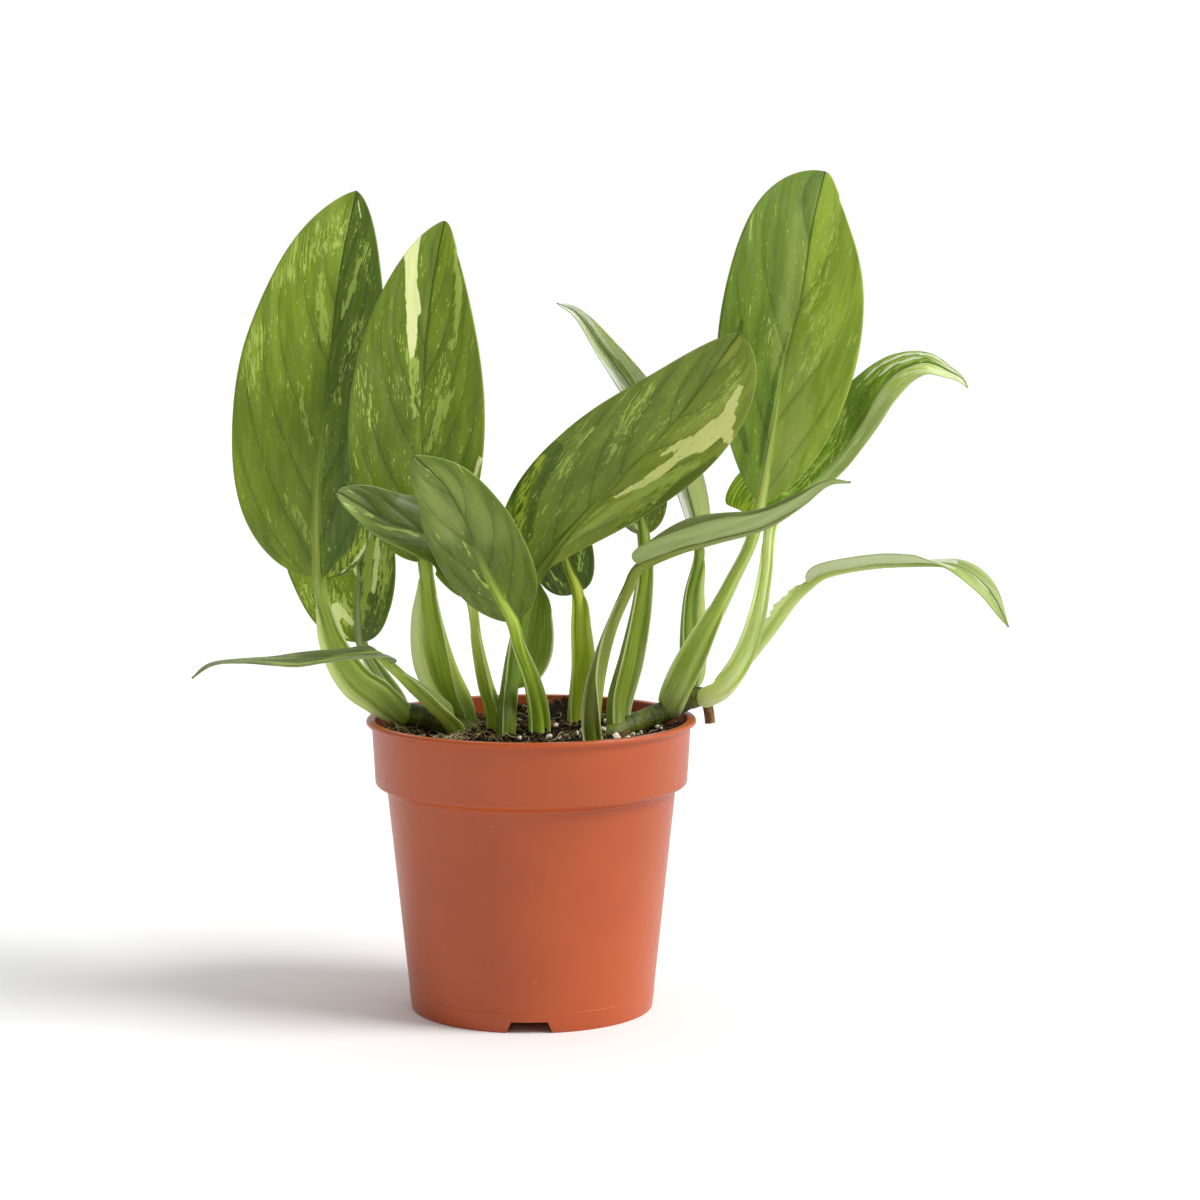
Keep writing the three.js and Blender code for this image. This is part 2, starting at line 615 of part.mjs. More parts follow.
// A notch narrows upwards, starts below the base and runs through the foot ring.
function notchGeometry(index) {
  const [foot, top] = [NOTCH_FOOT_WIDTH / 2, NOTCH_TOP_WIDTH / 2];
  const section = new THREE.Shape();
  section.moveTo(-foot, -WALL);
  section.lineTo(foot, -WALL);
  section.lineTo(top, NOTCH_HEIGHT);
  section.lineTo(-top, NOTCH_HEIGHT);
  const notch = new THREE.ExtrudeGeometry(section, { depth: 2 * NOTCH_DEPTH, bevelEnabled: false });
  notch.rotateX(Math.PI / 2);
  notch.translate(0, NOTCH_DEPTH - BASE_RADIUS, 0);
  return notch.rotateZ((2 * Math.PI * index) / NOTCH_COUNT);
}

function drainGeometry(index) {
  const hole = new THREE.CylinderGeometry(DRAIN_RADIUS, DRAIN_RADIUS, 4 * WALL, DRAIN_SEGMENTS);
  hole.rotateX(Math.PI / 2);
  hole.translate(DRAIN_CIRCLE_RADIUS, 0, FLOOR_HEIGHT + WALL / 2);
  return hole.rotateZ((2 * Math.PI * (index + 0.5)) / DRAIN_COUNT);
}

// The soil

function soilHeight(x, y) {
  const { x: moundX, y: moundY, height, spread } = SOIL_MOUND;
  const lumps = Math.sin(x / SOIL_LUMPS.across + 1) * Math.sin(y / SOIL_LUMPS.along);
  const clods = Math.sin(x / SOIL_CLODS.across - y / SOIL_CLODS.along);
  const mound = height * Math.exp(-((Math.hypot(x - moundX, y - moundY) / spread) ** 2));
  return SOIL_LEVEL + SOIL_LUMPS.height * lumps + SOIL_CLODS.height * clods + mound;
}

// The soil fills the pot from its floor, a little clear of the wall.
function soilGeometry() {
  const floorTop = FLOOR_HEIGHT + WALL + GAP;
  const wallRadius = (height) => innerRadius(height) - POT_SAG - GAP;
  const profile = [
    [0, WALL + GAP],
    [STAND_RADIUS - WALL / 2 - GAP, WALL + GAP],
    [STAND_RADIUS + STAND_SLOPE - WALL / 2 - GAP, floorTop],
    [wallRadius(floorTop), floorTop],
    [wallRadius(BODY_TOP_HEIGHT), BODY_TOP_HEIGHT],
    [wallRadius(COLLAR_FOOT_HEIGHT), COLLAR_FOOT_HEIGHT + GAP],
  ];
  for (let ring = SOIL_RINGS; ring >= 0; ring--)
    profile.push([(wallRadius(SOIL_LEVEL) * ring) / SOIL_RINGS, SOIL_LEVEL]);
  const geometry = revolved(profile, SOIL_SEGMENTS);
  const places = geometry.attributes.position;
  for (let i = 0; i < places.count; i++)
    if (Math.abs(places.getZ(i) - SOIL_LEVEL) < TOUCHING)
      places.setZ(i, soilHeight(places.getX(i), places.getY(i)));
  return geometry;
}

// The whole plant

const plant = new THREE.Group();

function addPiece(name, solid, look) {
  const mesh = new THREE.Mesh(geometryOf(largestBody(solid)), new THREE.MeshStandardMaterial(look));
  mesh.name = name;
  plant.add(mesh);
}

const stems = {};
const stemMoulds = [];
for (const [name, stem] of Object.entries(STEMS)) {
  stems[name] = solidOf(stemGeometry(stem, 0));
  stemMoulds.push(solidOf(stemGeometry(stem, GAP)));
}
stems.stem_right = stems.stem_right.add(solidOf(rootGeometry(0)));
stemMoulds.push(solidOf(rootGeometry(GAP)));
for (const [name, solid] of Object.entries(stems)) addPiece(name, solid, STEM_GREEN);

let soil = solidOf(soilGeometry());
for (const mould of stemMoulds) soil = soil.subtract(mould);
for (const [name, leaf] of Object.entries(LEAVES)) {
  let petiole = solidOf(petioleGeometry(leaf, 0));
  for (const mould of stemMoulds) petiole = petiole.subtract(mould);
  addPiece("petiole_" + name, petiole, PETIOLE_GREEN);
  soil = soil.subtract(solidOf(petioleGeometry(leaf, GAP)));
  addPiece("blade_" + name, solidOf(bladeGeometry(leaf)), LEAF_GREEN);
}
addPiece("soil", soil, SOIL_BROWN);
addPiece("pot", solidOf(potGeometry()), TERRACOTTA);

export default plant;
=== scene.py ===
# The looks of a potted variegated monstera standleyana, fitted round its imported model.
# Tables and shapes are in millimetres, and MM turns them into the scene's metres.

import math
import random

import bmesh
import bpy
import numpy as np
from mathutils import Euler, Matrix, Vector, noise


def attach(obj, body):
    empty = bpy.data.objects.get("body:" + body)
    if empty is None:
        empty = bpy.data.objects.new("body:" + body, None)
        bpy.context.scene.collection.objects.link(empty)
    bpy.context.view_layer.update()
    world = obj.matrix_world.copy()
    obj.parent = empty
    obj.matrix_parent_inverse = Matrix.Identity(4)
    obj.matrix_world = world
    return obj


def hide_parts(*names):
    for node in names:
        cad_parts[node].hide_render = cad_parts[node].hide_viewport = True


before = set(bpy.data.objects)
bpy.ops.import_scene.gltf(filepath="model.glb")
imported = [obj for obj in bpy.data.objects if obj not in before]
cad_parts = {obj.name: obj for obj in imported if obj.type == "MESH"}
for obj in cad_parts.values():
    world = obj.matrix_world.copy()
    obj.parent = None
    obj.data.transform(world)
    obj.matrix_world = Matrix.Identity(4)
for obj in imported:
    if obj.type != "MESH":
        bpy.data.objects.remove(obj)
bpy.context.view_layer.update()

MM = 0.001


def half(width, base, tip, fold, fold_at_tip=None, curl=4):
    """Half a blade, seen from the upper side with the tip up: its width, the powers of its outline
    at base and tip, and in degrees the fold beside the midrib and the further curl to the margin."""
    folds = (fold, fold if fold_at_tip is None else fold_at_tip)
    return {"width": width, "base": base, "tip": tip, "fold": folds, "curl": curl}


def wings(left, right, start, end, fullness=0.6, torn=0):
    """The heights of a sheath's wings, the shares of the petiole where they start and end, the
    power of their swell between, which is fuller if less, and how deeply their edge is torn."""
    ends = {"start": start, "end": end}
    return {"left": left, "right": right, **ends, "fullness": fullness, "torn": torn}


# Every leaf. Its petiole runs from the foot to the blade's base and its midrib from there to the
# tip. facing is the way the blade's upper side looks, spread evenly from base to tip, and
# petiole_facing the way the open side of the sheath looks at the foot. wave is the height, number
# and start of the margin's waves, and girth the petiole's radius at foot and neck. Seven leaves are
# as in the model. The others differ a little in bend, width, tip or wings: right_curved,
# right_arched, right_front, right_low, right_tall, left_inner and mid_back.
LEAVES = {
  "left_tall": {
    "petiole": [[-48, 2, 108], [-54, 2, 114], [-61, 1, 120], [-68, 0, 130], [-73, -1, 141]],
    "midrib": [
      [-77, -2, 158], [-77, -2, 186], [-75, -1, 210],
      [-72, 4, 240], [-69, 13, 269], [-64, 26, 297],
    ],
    "facing": [[0, -1, 0], [-0.1, -1, 0.1], [0, -1, 0.3]],
    "petiole_facing": [-0.4, -0.7, 0.5],
    "left": half(33, 0.5, 0.72, 4),
    "right": half(28, 0.35, 0.7, 26, curl=6),
    "wave": (1.2, 2.5, 0.2),
    "girth": [4.8, 2.5],
    "wings": wings(5, 1.5, 0, 0.85),
  },
  "left_inner": {
    "petiole": [[-24, 3, 103], [-26, 2, 112], [-30, -5, 124], [-34, -15, 143]],
    "midrib": [
      [-37, -26, 166], [-39, -22, 198], [-38, -19, 225],
      [-36, -16, 251], [-33, -13, 272], [-30, -10, 286],
    ],
    "facing": [[0, -1, 0], [0, -1, 0.1]],
    "petiole_facing": [-0.8, -0.6, 0.2],
    "left": half(26, 0.5, 0.75, 14),
    "right": half(24, 0.5, 0.85, 14),
    "wave": (1, 2, 0.6),
    "tip_radius": 1.7,
    "girth": [4.6, 2.6],
    "wings": wings(7, 3, 0, 0.93),
  },
  "mid_small": {
    "petiole": [[-14, 6, 91], [-13, 5, 106], [-16, -7, 121], [-19, -19, 138]],
    "midrib": [
      [-21, -27, 154], [-28, -33, 170], [-37, -39, 177],
      [-49, -44, 182], [-58, -48, 188], [-66, -51, 193],
    ],
    "facing": [[-0.2, -0.8, 0.5], [0.1, -0.8, 0.6]],
    "petiole_facing": [-0.5, -0.8, 0.2],
    "left": half(10, 0.5, 0.6, 10),
    "right": half(13, 0.5, 0.6, 10),
    "wave": (0.6, 2, 0.1),
    "girth": [2.6, 1.8],
    "wings": wings(1.5, 1.5, 0, 0.8),
  },
  "mid_front": {
    "petiole": [[2, 3, 91], [2, 0, 106], [0, -10, 121], [-4, -19, 135]],
    "midrib": [[-6, -26, 145], [-14, -34, 161], [-21, -43, 180], [-28, -49, 194], [-39, -55, 206]],
    "facing": [[0, -1, 0.2], [0, -1, 0.4]],
    "petiole_facing": [0.4, -0.8, 0.2],
    "left": half(15.5, 0.7, 0.55, 10),
    "right": half(17, 0.4, 0.8, 10),
    "wave": (0.6, 2, 0.4),
    "girth": [3.4, 2.3],
    "wings": wings(1.5, 2, 0, 0.85),
  },
  "mid_long": {
    "petiole": [[-9, -6, 91], [-9, -8, 102], [-8, -4, 116], [-6, 1, 131], [-2, 4, 147]],
    "midrib": [[2, 5, 158], [11, 0, 171], [31, -6, 193], [53, -14, 217], [74, -24, 247]],
    "facing": [[0.1, -1, 0.1], [0, -1, 0.2]],
    "petiole_facing": [0.8, -0.5, 0.1],
    "left": half(27, 0.35, 0.8, 6),
    "right": half(21, 1, 0.45, 12),
    "wave": (1, 2, 0),
    "girth": [4, 2.6],
    "wings": wings(2, 10, 0.4, 0.97),
  },
  "mid_back": {
    "petiole": [[16, 18, 92], [16, 19, 106], [17, 16, 122], [17, 13, 137]],
    "midrib": [[17, 11, 151], [13, 13, 161], [8, 16, 181], [3, 18, 201]],
    "facing": [[0, -1, 0.2], [0, -1, 0.3]],
    "petiole_facing": [0.6, -0.8, 0],
    "left": half(13, 0.4, 0.8, 6),
    "right": half(11, 0.4, 0.8, 6),
    "wave": (0.5, 2, 0),
    "girth": [3.2, 2.3],
    "wings": wings(2, 4, 0, 0.97, fullness=0.3),
  },
  "right_arched": {
    "petiole": [[58, 13, 112], [58, 20, 119], [57, 23, 131], [58, 25, 148]],
    "midrib": [
      [62, 25, 165], [60, 26, 176], [55, 28, 193], [46, 28, 211],
      [38, 26, 223], [26, 18, 240], [15.5, 8, 254], [9.5, 4, 256.7],
    ],
    "facing": [[0.2, -1, 0.1], [0.15, -1, 0.1], [0.3, -0.9, -0.1]],
    "petiole_facing": [0.7, -0.7, 0],
    "left": half(12, 0.5, 0.75, 56),
    "right": half(12, 0.5, 0.85, 56),
    "wave": (0.6, 2, 0),
    "girth": [3, 2],
    "wings": wings(1.5, 4.5, 0.1, 0.95),
  },
  "right_tall": {
    "petiole": [[51, 8, 109], [53, 7, 114], [58, 6, 125], [64, 5, 138], [73, 4, 156], [80, 3, 171]],
    "midrib": [[83, 4, 184], [87, 4, 207], [91, 6, 231], [98, 10, 261], [102, 16, 285], [107, 24, 304]],
    "facing": [[0, -1, 0], [0, -1, 0.2]],
    "petiole_facing": [0.1, -0.6, 0.8],
    "left": half(28, 0.78, 0.55, 10),
    "right": half(25.5, 0.75, 0.9, 10),
    "wave": (0.8, 2, 0.2),
    "tip_radius": 2.5,
    "girth": [4.6, 2.3],
    "wings": wings(2.5, 2.5, 0, 0.5),
  },
  "right_front": {
    "petiole": [[23, -22, 92], [22, -25, 103], [24, -25, 123], [29, -26, 143], [35, -27, 157]],
    "midrib": [
      [39, -28, 165], [54, -36, 172], [66, -42, 176], [82, -48, 181],
      [95, -53, 189], [104, -56, 196], [111, -58, 197],
    ],
    "facing": [[-0.8, 0.2, 0.6], [-0.3, -0.1, 1], [-0.2, -0.16, 1]],
    "petiole_facing": [0.2, -0.5, 0.6],
    "left": half(11, 0.25, 0.9, 42),
    "right": half(12, 0.3, 0.9, 42),
    "wave": (0.6, 2, 0),
    "girth": [3.2, 2.2],
    "wings": wings(1.5, 1.5, 0, 0.85),
  },
  "right_curved": {
    "petiole": [[64, 8, 113], [69, 5, 116], [74, 4, 122], [79, 7, 131], [83, 10, 143], [86, 14, 158]],
    "midrib": [
      [88, 20, 175], [90.5, 20.5, 180], [99.5, 22, 185], [111, 26, 196], [120.5, 30, 209.5],
      [128, 32, 223], [136, 34, 231], [145.5, 34, 234], [154, 33, 231], [159, 32, 228], [161, 32, 225],
    ],
    "facing": [[-0.35, -0.8, 0.45], [-0.32, -0.9, 0.4], [0.1, -0.8, 0.6]],
    "petiole_facing": [0.3, -0.6, 0.7],
    "left": half(23, 0.14, 1, 14, -26, curl=-10),
    "right": half(11.5, 0.8, 0.8, 50, 20),
    "wave": (0.8, 2, 0),
    "girth": [4, 2.3],
    "wings": wings(1.5, 1.5, 0.1, 0.9),
  },
  "right_low": {
    "petiole": [[66, 14, 113], [72, 20, 117], [80, 22, 126], [89, 17, 138], [96, 9, 149]],
    "midrib": [
      [101, 3, 155], [105, 2, 158], [118, -3, 162], [135, -8, 164],
      [153, -13, 163], [163, -16, 156], [171, -18, 142],
    ],
    "facing": [[-0.4, 0.1, 0.9], [0, 0.1, 1], [0.7, -0.9, 0.4]],
    "petiole_facing": [-0.7, 0, 0.7],
    "left": half(11, 0.4, 0.9, 20, 0, curl=-10),
    "right": half(12, 0.4, 0.9, 30, -10),
    "wave": (0.5, 2, 0),
    "girth": [3, 2],
    "wings": wings(2, 3.8, 0.4, 1, torn=0.5),
  },
  "left_low": {
    "petiole": [[-27, -6, 102], [-30, -12, 108], [-36, -14, 114], [-42, -17, 120], [-47, -21, 126]],
    "midrib": [
      [-51, -23, 130], [-53, -26, 133], [-58, -29, 133.5], [-69, -33, 133],
      [-84, -38, 132], [-100, -43, 133], [-111, -47, 132], [-117, -50, 128],
    ],
    "facing": [[0.4, 0, 1], [0, -0.1, 1], [-0.2, 0, 1]],
    "petiole_facing": [0.5, -0.3, 0.8],
    "left": half(11, 0.4, 0.9, 16, 4, curl=-10),
    "right": half(11, 0.4, 0.9, 10, 4, curl=-14),
    "wave": (0.5, 2, 0),
    "girth": [3, 2],
    "wings": wings(2.5, 2.5, 0, 0.82),
  },
  "left_back": {
    "petiole": [[-48, 10, 107], [-52, 16, 112], [-57, 17, 120]],
    "midrib": [[-63, 16, 132], [-64, 17, 142], [-64, 20, 155], [-65, 29, 176], [-63, 47, 201]],
    "facing": [[0, -1, 0.2], [0, -1, 0.4]],
    "petiole_facing": [0.4, -0.8, 0.4],
    "left": half(27, 0.6, 0.7, 8),
    "right": half(18, 0.45, 0.8, 35),
    "wave": (0.8, 2, 0),
    "girth": [3, 2.2],
    "wings": wings(2, 2, 0, 0.9),
  },
  "right_back": {
    "petiole": [[31, -1, 101], [31, 2, 112], [35, 5, 128], [39, 9, 146], [41, 12, 160]],
    "midrib": [[41, 14, 172], [37, 24, 191], [29, 46, 210]],
    "facing": [[0.3, -1, 0.2], [0.2, -0.9, 0.6]],
    "petiole_facing": [0.7, -0.6, 0.2],
    "left": half(12, 0.5, 0.8, 10),
    "right": half(12, 0.5, 0.8, 10),
    "wave": (0.5, 2, 0),
    "girth": [3.6, 2.4],
    "wings": wings(2, 3, 0, 0.95),
  },
}

# Creeping stems: the middle line, the radius and the number of rings where leaves grew.
STEMS = {
  "stem_left": {
    "path": [[-51, 6, 108], [-44, 4, 107], [-33, 0, 105], [-24, -3, 102], [-17, -5, 95]],
    "radius": 4.2,
    "rings": 5,
  },
  "stem_mid": {
    "path": [[-18, 6, 90], [-10, -1, 89], [1, 1, 89], [10, 9, 89], [18, 19, 90]],
    "radius": 4.5,
    "rings": 4,
  },
  "stem_right": {
    "path": [
      [22, -22, 90], [25, -11, 97], [32, 0, 102], [42, 6, 105],
      [51, 9, 108.5], [58, 11, 112], [67, 11, 113],
    ],
    "radius": 4,
    "rings": 8,
  },
}

# The colouring of each blade: its green left and right of the midrib, how thickly it is flecked,
# how clear its side veins are where that isn't 1, how far apart they are, and its marks. A mark is
# a stroke through places (across from -1 to 1, along from 0 to 1, half width in mm).
# The two greens hold painted light and shade as well as the leaf's own green: the halves of a blade
# differ where one half turns from the light or lies in shadow, the palest grey-greens paint the
# sheen of halves seen at a slant, and a near-white green brightens a blade that lies in shade.
# The greyish sheen marks are painted sheen, and the dark marks are partly painted shade.
COLOURING = {
  "left_tall": {
    # The darker right green is painted shade: that half turns from the light and lies in the shadow of
    # the leaf in front.
    "green": (134, 158, 29), "right_green": (90, 119, 2), "flecks": 0.35,
    "flecked": [
      [(-0.9, 0.74, 6), (-0.7, 0.83, 9), (-0.4, 0.87, 9), (-0.15, 0.93, 7)],
      [(-0.8, 0.78, 3), (-0.5, 0.83, 3), (-0.3, 0.88, 3)],
      [(0.1, 0.98, 3), (0.45, 0.94, 5), (0.8, 0.74, 3)],
      [(-0.85, 0.6, 4), (-0.9, 0.45, 3)],
      [(0.2, 0.45, 2), (0.45, 0.62, 4)],
    ],
    "pale": [
      [(-0.28, 0.76, 0.9), (-0.2, 0.7, 1.4), (-0.12, 0.62, 2.0), (-0.06, 0.59, 0.6)],
      [(0.15, 0.66, 0.7), (0.35, 0.73, 2.0), (0.48, 0.8, 2.0)],
      [(-0.3, 0.48, 0.5), (-0.22, 0.41, 0.9), (-0.1, 0.33, 0.4)],
      [(-0.38, 0.2, 0.6), (-0.25, 0.16, 1.3), (-0.14, 0.09, 0.4)],
    ],
    "cream": [
      [(0.4, 0.97, 0.8), (0.5, 0.93, 1.0)],
      [(0.8, 0.02, 0.7), (0.97, 0.08, 0.9), (0.99, 0.14, 0.6)],
    ],
    "bright": [[(0.5, 0.01, 3), (0.8, 0.06, 4), (0.9, 0.12, 3)]],
  },
  "left_inner": {
    "green": (107, 131, 7), "right_green": (124, 147, 17), "flecks": 0.35,
    "flecked": [
      [(-0.9, 0.55, 2), (-0.7, 0.4, 2)],
      [(-0.35, 0.52, 2.5), (-0.25, 0.44, 2)],
      [(0.15, 0.45, 2.5), (0.5, 0.66, 2.5)],
    ],
    "pale": [
      [(-0.22, 0.64, 1.6), (-0.15, 0.54, 1.6), (-0.09, 0.42, 0.6)],
      [(0.95, 0.94, 2.5), (0.8, 0.85, 2.6), (0.7, 0.76, 1.8), (0.52, 0.63, 0.8)],
      [(0.14, 0.33, 0.8), (0.26, 0.4, 1.7), (0.37, 0.47, 2.4), (0.5, 0.5, 0.9)],
    ],
    "cream": [
      [(-1.0, 0.91, 3.6), (-0.75, 0.875, 3.2), (-0.5, 0.815, 3.2), (-0.3, 0.73, 3.0),
       (-0.22, 0.65, 2.3), (-0.2, 0.6, 1.2)],
      [(0.97, 0.3, 0.8), (0.9, 0.2, 1.2)],
    ],
  },
  "mid_small": {
    "green": (106, 131, 12), "right_green": (78, 100, 4), "flecks": 0.12,
    "flecked": [[(0.5, 0.58, 1)]],
    "pale": [
      [(-0.75, 0.93, 0.7), (-0.45, 0.84, 1.1), (-0.2, 0.78, 0.6)],
      [(-0.5, 0.75, 0.6), (-0.2, 0.6, 0.8), (-0.1, 0.5, 0.4)],
    ],
  },
  "mid_front": {
    "green": (92, 111, 22), "right_green": (107, 132, 17), "flecks": 0.16,
    "flecked": [[(0.6, 0.25, 3)]],
    "painted_sheen": [[(-0.5, 0.9, 2), (-0.4, 0.6, 5)], [(0.3, 0.85, 3), (0.4, 0.5, 5)]],
    "pale": [
      [(-0.26, 0.49, 0.35), (-0.16, 0.41, 0.4)],
      [(-0.32, 0.33, 0.35), (-0.16, 0.24, 0.4)],
      [(-0.05, 0.89, 0.5), (-0.02, 0.86, 0.4)],
    ],
  },
  "mid_long": {
    "green": (129, 151, 36), "right_green": (158, 173, 53), "flecks": 0.4,
    "flecked": [
      [(-0.75, 0.7, 3), (-0.6, 0.6, 3), (-0.35, 0.47, 3)],
      [(-0.85, 0.45, 2), (-0.6, 0.3, 2)],
      [(0.35, 0.92, 2.5), (0.5, 0.88, 3), (0.4, 0.8, 2), (0.15, 0.7, 2)],
      [(0.8, 0.5, 1.5), (0.85, 0.35, 1.5)],
    ],
    "pale": [
      [(0.8, 0.62, 1.2), (0.62, 0.5, 2.6), (0.5, 0.38, 2.8), (0.4, 0.24, 2.2), (0.28, 0.1, 1.6)],
      [(0.2, 0.36, 0.6), (0.2, 0.25, 1.0), (0.16, 0.1, 0.8)],
      [(-0.4, 0.48, 0.3), (-0.28, 0.42, 0.7)],
    ],
    "cream": [
      [(0.66, 0.87, 1.0), (0.68, 0.8, 2.8), (0.68, 0.74, 4.2), (0.58, 0.67, 4.0), (0.48, 0.6, 2.2),
       (0.44, 0.52, 1.8), (0.38, 0.44, 1.5), (0.28, 0.38, 1.0), (0.2, 0.35, 0.3)],
      [(0.7, 0.77, 3.4), (0.86, 0.74, 2.8), (0.98, 0.73, 1.6)],
      [(0.42, 0.66, 1.2), (0.32, 0.6, 0.8), (0.24, 0.56, 0.2)],
    ],
    "painted_sheen": [[(0.5, 0.3, 3), (0.45, 0.18, 4), (0.35, 0.08, 4), (0.2, 0.03, 3)]],
    "cream_colour": (253, 255, 168),
    "dark": [
      [(1.0, 0.66, 2), (0.97, 0.55, 3.5), (0.95, 0.42, 3), (0.9, 0.3, 1)],
      [(-0.9, 0.35, 3), (-0.8, 0.18, 5), (-0.6, 0.1, 4)],
    ],
    "bright": [[(-0.95, 0.3, 0.8), (-0.85, 0.18, 1.4), (-0.66, 0.09, 1.0)]],
  },
  "mid_back": {
    "green": (54, 80, 11), "right_green": (63, 91, 6), "flecks": 0.3,
    "flecked": [[(0.5, 0.2, 2.5), (0.6, 0.4, 2)]],
    "pale": [[(0.6, 0.3, 0.3), (0.4, 0.15, 0.3)], [(-0.6, 0.2, 0.4), (-0.4, 0.1, 0.3)]],
  },
  "right_arched": {
    # Near-white green: painted light that brightens this blade, which lies in shade.
    "green": (250, 250, 250), "right_green": (246, 249, 228), "flecks": -0.6,
    "pale": [[(-0.8, 0.9, 0.6), (-0.7, 0.6, 0.8)], [(0.95, 0.85, 0.8), (0.95, 0.5, 1)]],
    "dark": [[(0.3, 0.9, 0.4), (0.3, 0.7, 1.4), (0.3, 0.5, 1.6)]],
    "vein": 0.3,
    "cream": [[(0.4, 0.02, 3), (0.6, 0.1, 5), (0.55, 0.2, 4), (0.4, 0.3, 1.5)]],
  },
  "right_tall": {
    # The paler right green is painted light and sheen on the half that faces the light.
    "green": (107, 137, 2), "right_green": (160, 184, 52), "flecks": 0.28,
    "flecked": [
      [(0.65, 0.85, 2), (0.5, 0.76, 3), (0.36, 0.68, 4), (0.2, 0.6, 3), (0.16, 0.5, 2)],
      [(0.85, 0.75, 2), (0.8, 0.85, 2)],
      [(0.45, 0.6, 3), (0.4, 0.45, 3), (0.13, 0.35, 2)],
      [(-0.35, 0.52, 1.5), (-0.24, 0.43, 1.2)],
      [(-0.85, 0.6, 1)],
    ],
    "pale": [
      [(0.4, 0.7, 0.6), (0.3, 0.66, 1.1), (0.16, 0.57, 0.5)],
      [(0.9, 0.53, 1.2), (0.84, 0.51, 0.7)],
      [(-0.32, 0.52, 0.2), (-0.24, 0.44, 0.4)],
    ],
    "painted_sheen": [
      [(0.2, 0.45, 2), (0.3, 0.3, 5), (0.4, 0.12, 7), (0.4, 0.0, 7)],
      [(-0.25, 0.85, 2), (-0.15, 0.6, 3), (-0.12, 0.4, 1)],
    ],
    "dark": [
      [(-0.7, 0.5, 1), (-0.8, 0.3, 3), (-0.6, 0.15, 2)],
      [(-0.06, 0.5, 0.4), (-0.1, 0.3, 1.5), (-0.2, 0.12, 2)],
    ],
    "pitch": 0.34,
  },
  "right_front": {
    "green": (138, 149, 83), "right_green": (182, 195, 124), "flecks": 0.3, "vein": 0.4,
    "pale": [[(0.7, 0.2, 0.4), (0.6, 0.6, 0.5)]],
  },
  "right_curved": {
    "green": (116, 150, 2), "right_green": (222, 232, 158), "flecks": 0.5, "vein": 0.4,
    "flecked": [
      [(-0.8, 0.1, 4), (-0.6, 0.3, 4), (-0.5, 0.5, 3)],
      [(-0.2, 0.1, 2), (-0.2, 0.4, 2)],
      [(-0.6, 0.8, 3), (0.3, 0.85, 3)],
    ],
    "pale": [
      [(-0.5, 0.62, 0.4), (-0.55, 0.75, 1.0), (-0.6, 0.9, 0.8)],
      [(-0.85, 0.65, 0.4), (-0.9, 0.8, 1.2), (-0.8, 0.95, 0.8)],
      [(-0.2, 0.66, 0.4), (-0.25, 0.8, 0.7), (-0.3, 0.95, 0.7)],
      [(0.4, 0.2, 0.4), (0.5, 0.5, 0.7), (0.6, 0.6, 0.4)],
      [(-0.7, 0.04, 0.6), (-0.8, 0.1, 0.8)],
    ],
    "painted_sheen": [[(0.2, 0.95, 2), (0.1, 0.9, 1)]],
    "bright": [
      [(-0.3, 0.01, 3), (-0.7, 0.04, 4), (-0.8, 0.12, 4), (-0.7, 0.25, 2)],
      [(0.4, 0.66, 2), (0.5, 0.76, 3), (0.4, 0.82, 1)],
    ],
    "cream": [
      [(-0.3, 0.56, 0.2), (-0.4, 0.7, 0.9), (-0.4, 0.85, 1.2), (-0.2, 0.96, 2.0)],
      [(-0.7, 0.6, 0.2), (-0.75, 0.72, 1.0), (-0.8, 0.84, 1.6), (-0.5, 0.96, 2.0)],
      [(0.5, 0.86, 0.5), (0.3, 0.96, 2.0)],
    ],
    "cream_colour": (236, 242, 216),
  },
  "right_low": {
    "green": (173, 188, 113), "right_green": (173, 194, 105), "flecks": 0.3, "vein": 0.3,
    "pale": [[(0.6, 0.6, 0.5), (0.5, 0.95, 0.5)]],
    "cream": [
      [(-0.5, 0.0, 9), (-0.5, 0.4, 8), (-0.4, 0.62, 3)],
      [(0.5, 0.0, 9), (0.5, 0.4, 8), (0.6, 0.64, 2)],
      [(0.1, 0.7, 0.4), (0.1, 0.95, 0.5)],
    ],
    "cream_colour": (226, 226, 206),
  },
  "left_low": {
    "green": (117, 126, 94), "right_green": (132, 144, 93), "flecks": 0.45,
    "flecked": [[(0.5, 0.5, 3), (0.5, 0.8, 3)]],
    "pale": [[(-0.6, 0.2, 1.6), (-0.7, 0.6, 1.6), (-0.6, 0.9, 1)], [(0.4, 0.5, 0.6), (0.3, 0.8, 0.6)]],
  },
  "left_back": {
    "green": (128, 148, 9), "right_green": (93, 118, 9), "flecks": 0.6,
    "flecked": [[(-0.7, 0.2, 6), (-0.3, 0.15, 4)], [(0.7, 0.25, 4), (0.8, 0.45, 4)]],
    "pale": [[(0.1, 0.06, 1), (0.16, 0.15, 2.0), (0.26, 0.3, 3.2), (0.36, 0.48, 3.6)]],
    "cream": [
      [(0.42, 0.24, 1), (0.5, 0.36, 1.6), (0.56, 0.46, 1.8)],
      [(-0.62, 0.05, 2), (-0.4, 0.16, 2.4), (-0.16, 0.1, 1.0)],
      [(0.04, 0.3, 1.2), (-0.1, 0.4, 1.2), (-0.3, 0.5, 1)],
    ],
  },
  "right_back": {
    "green": (55, 74, 2), "right_green": (106, 119, 13), "flecks": 0.7,
  },
}

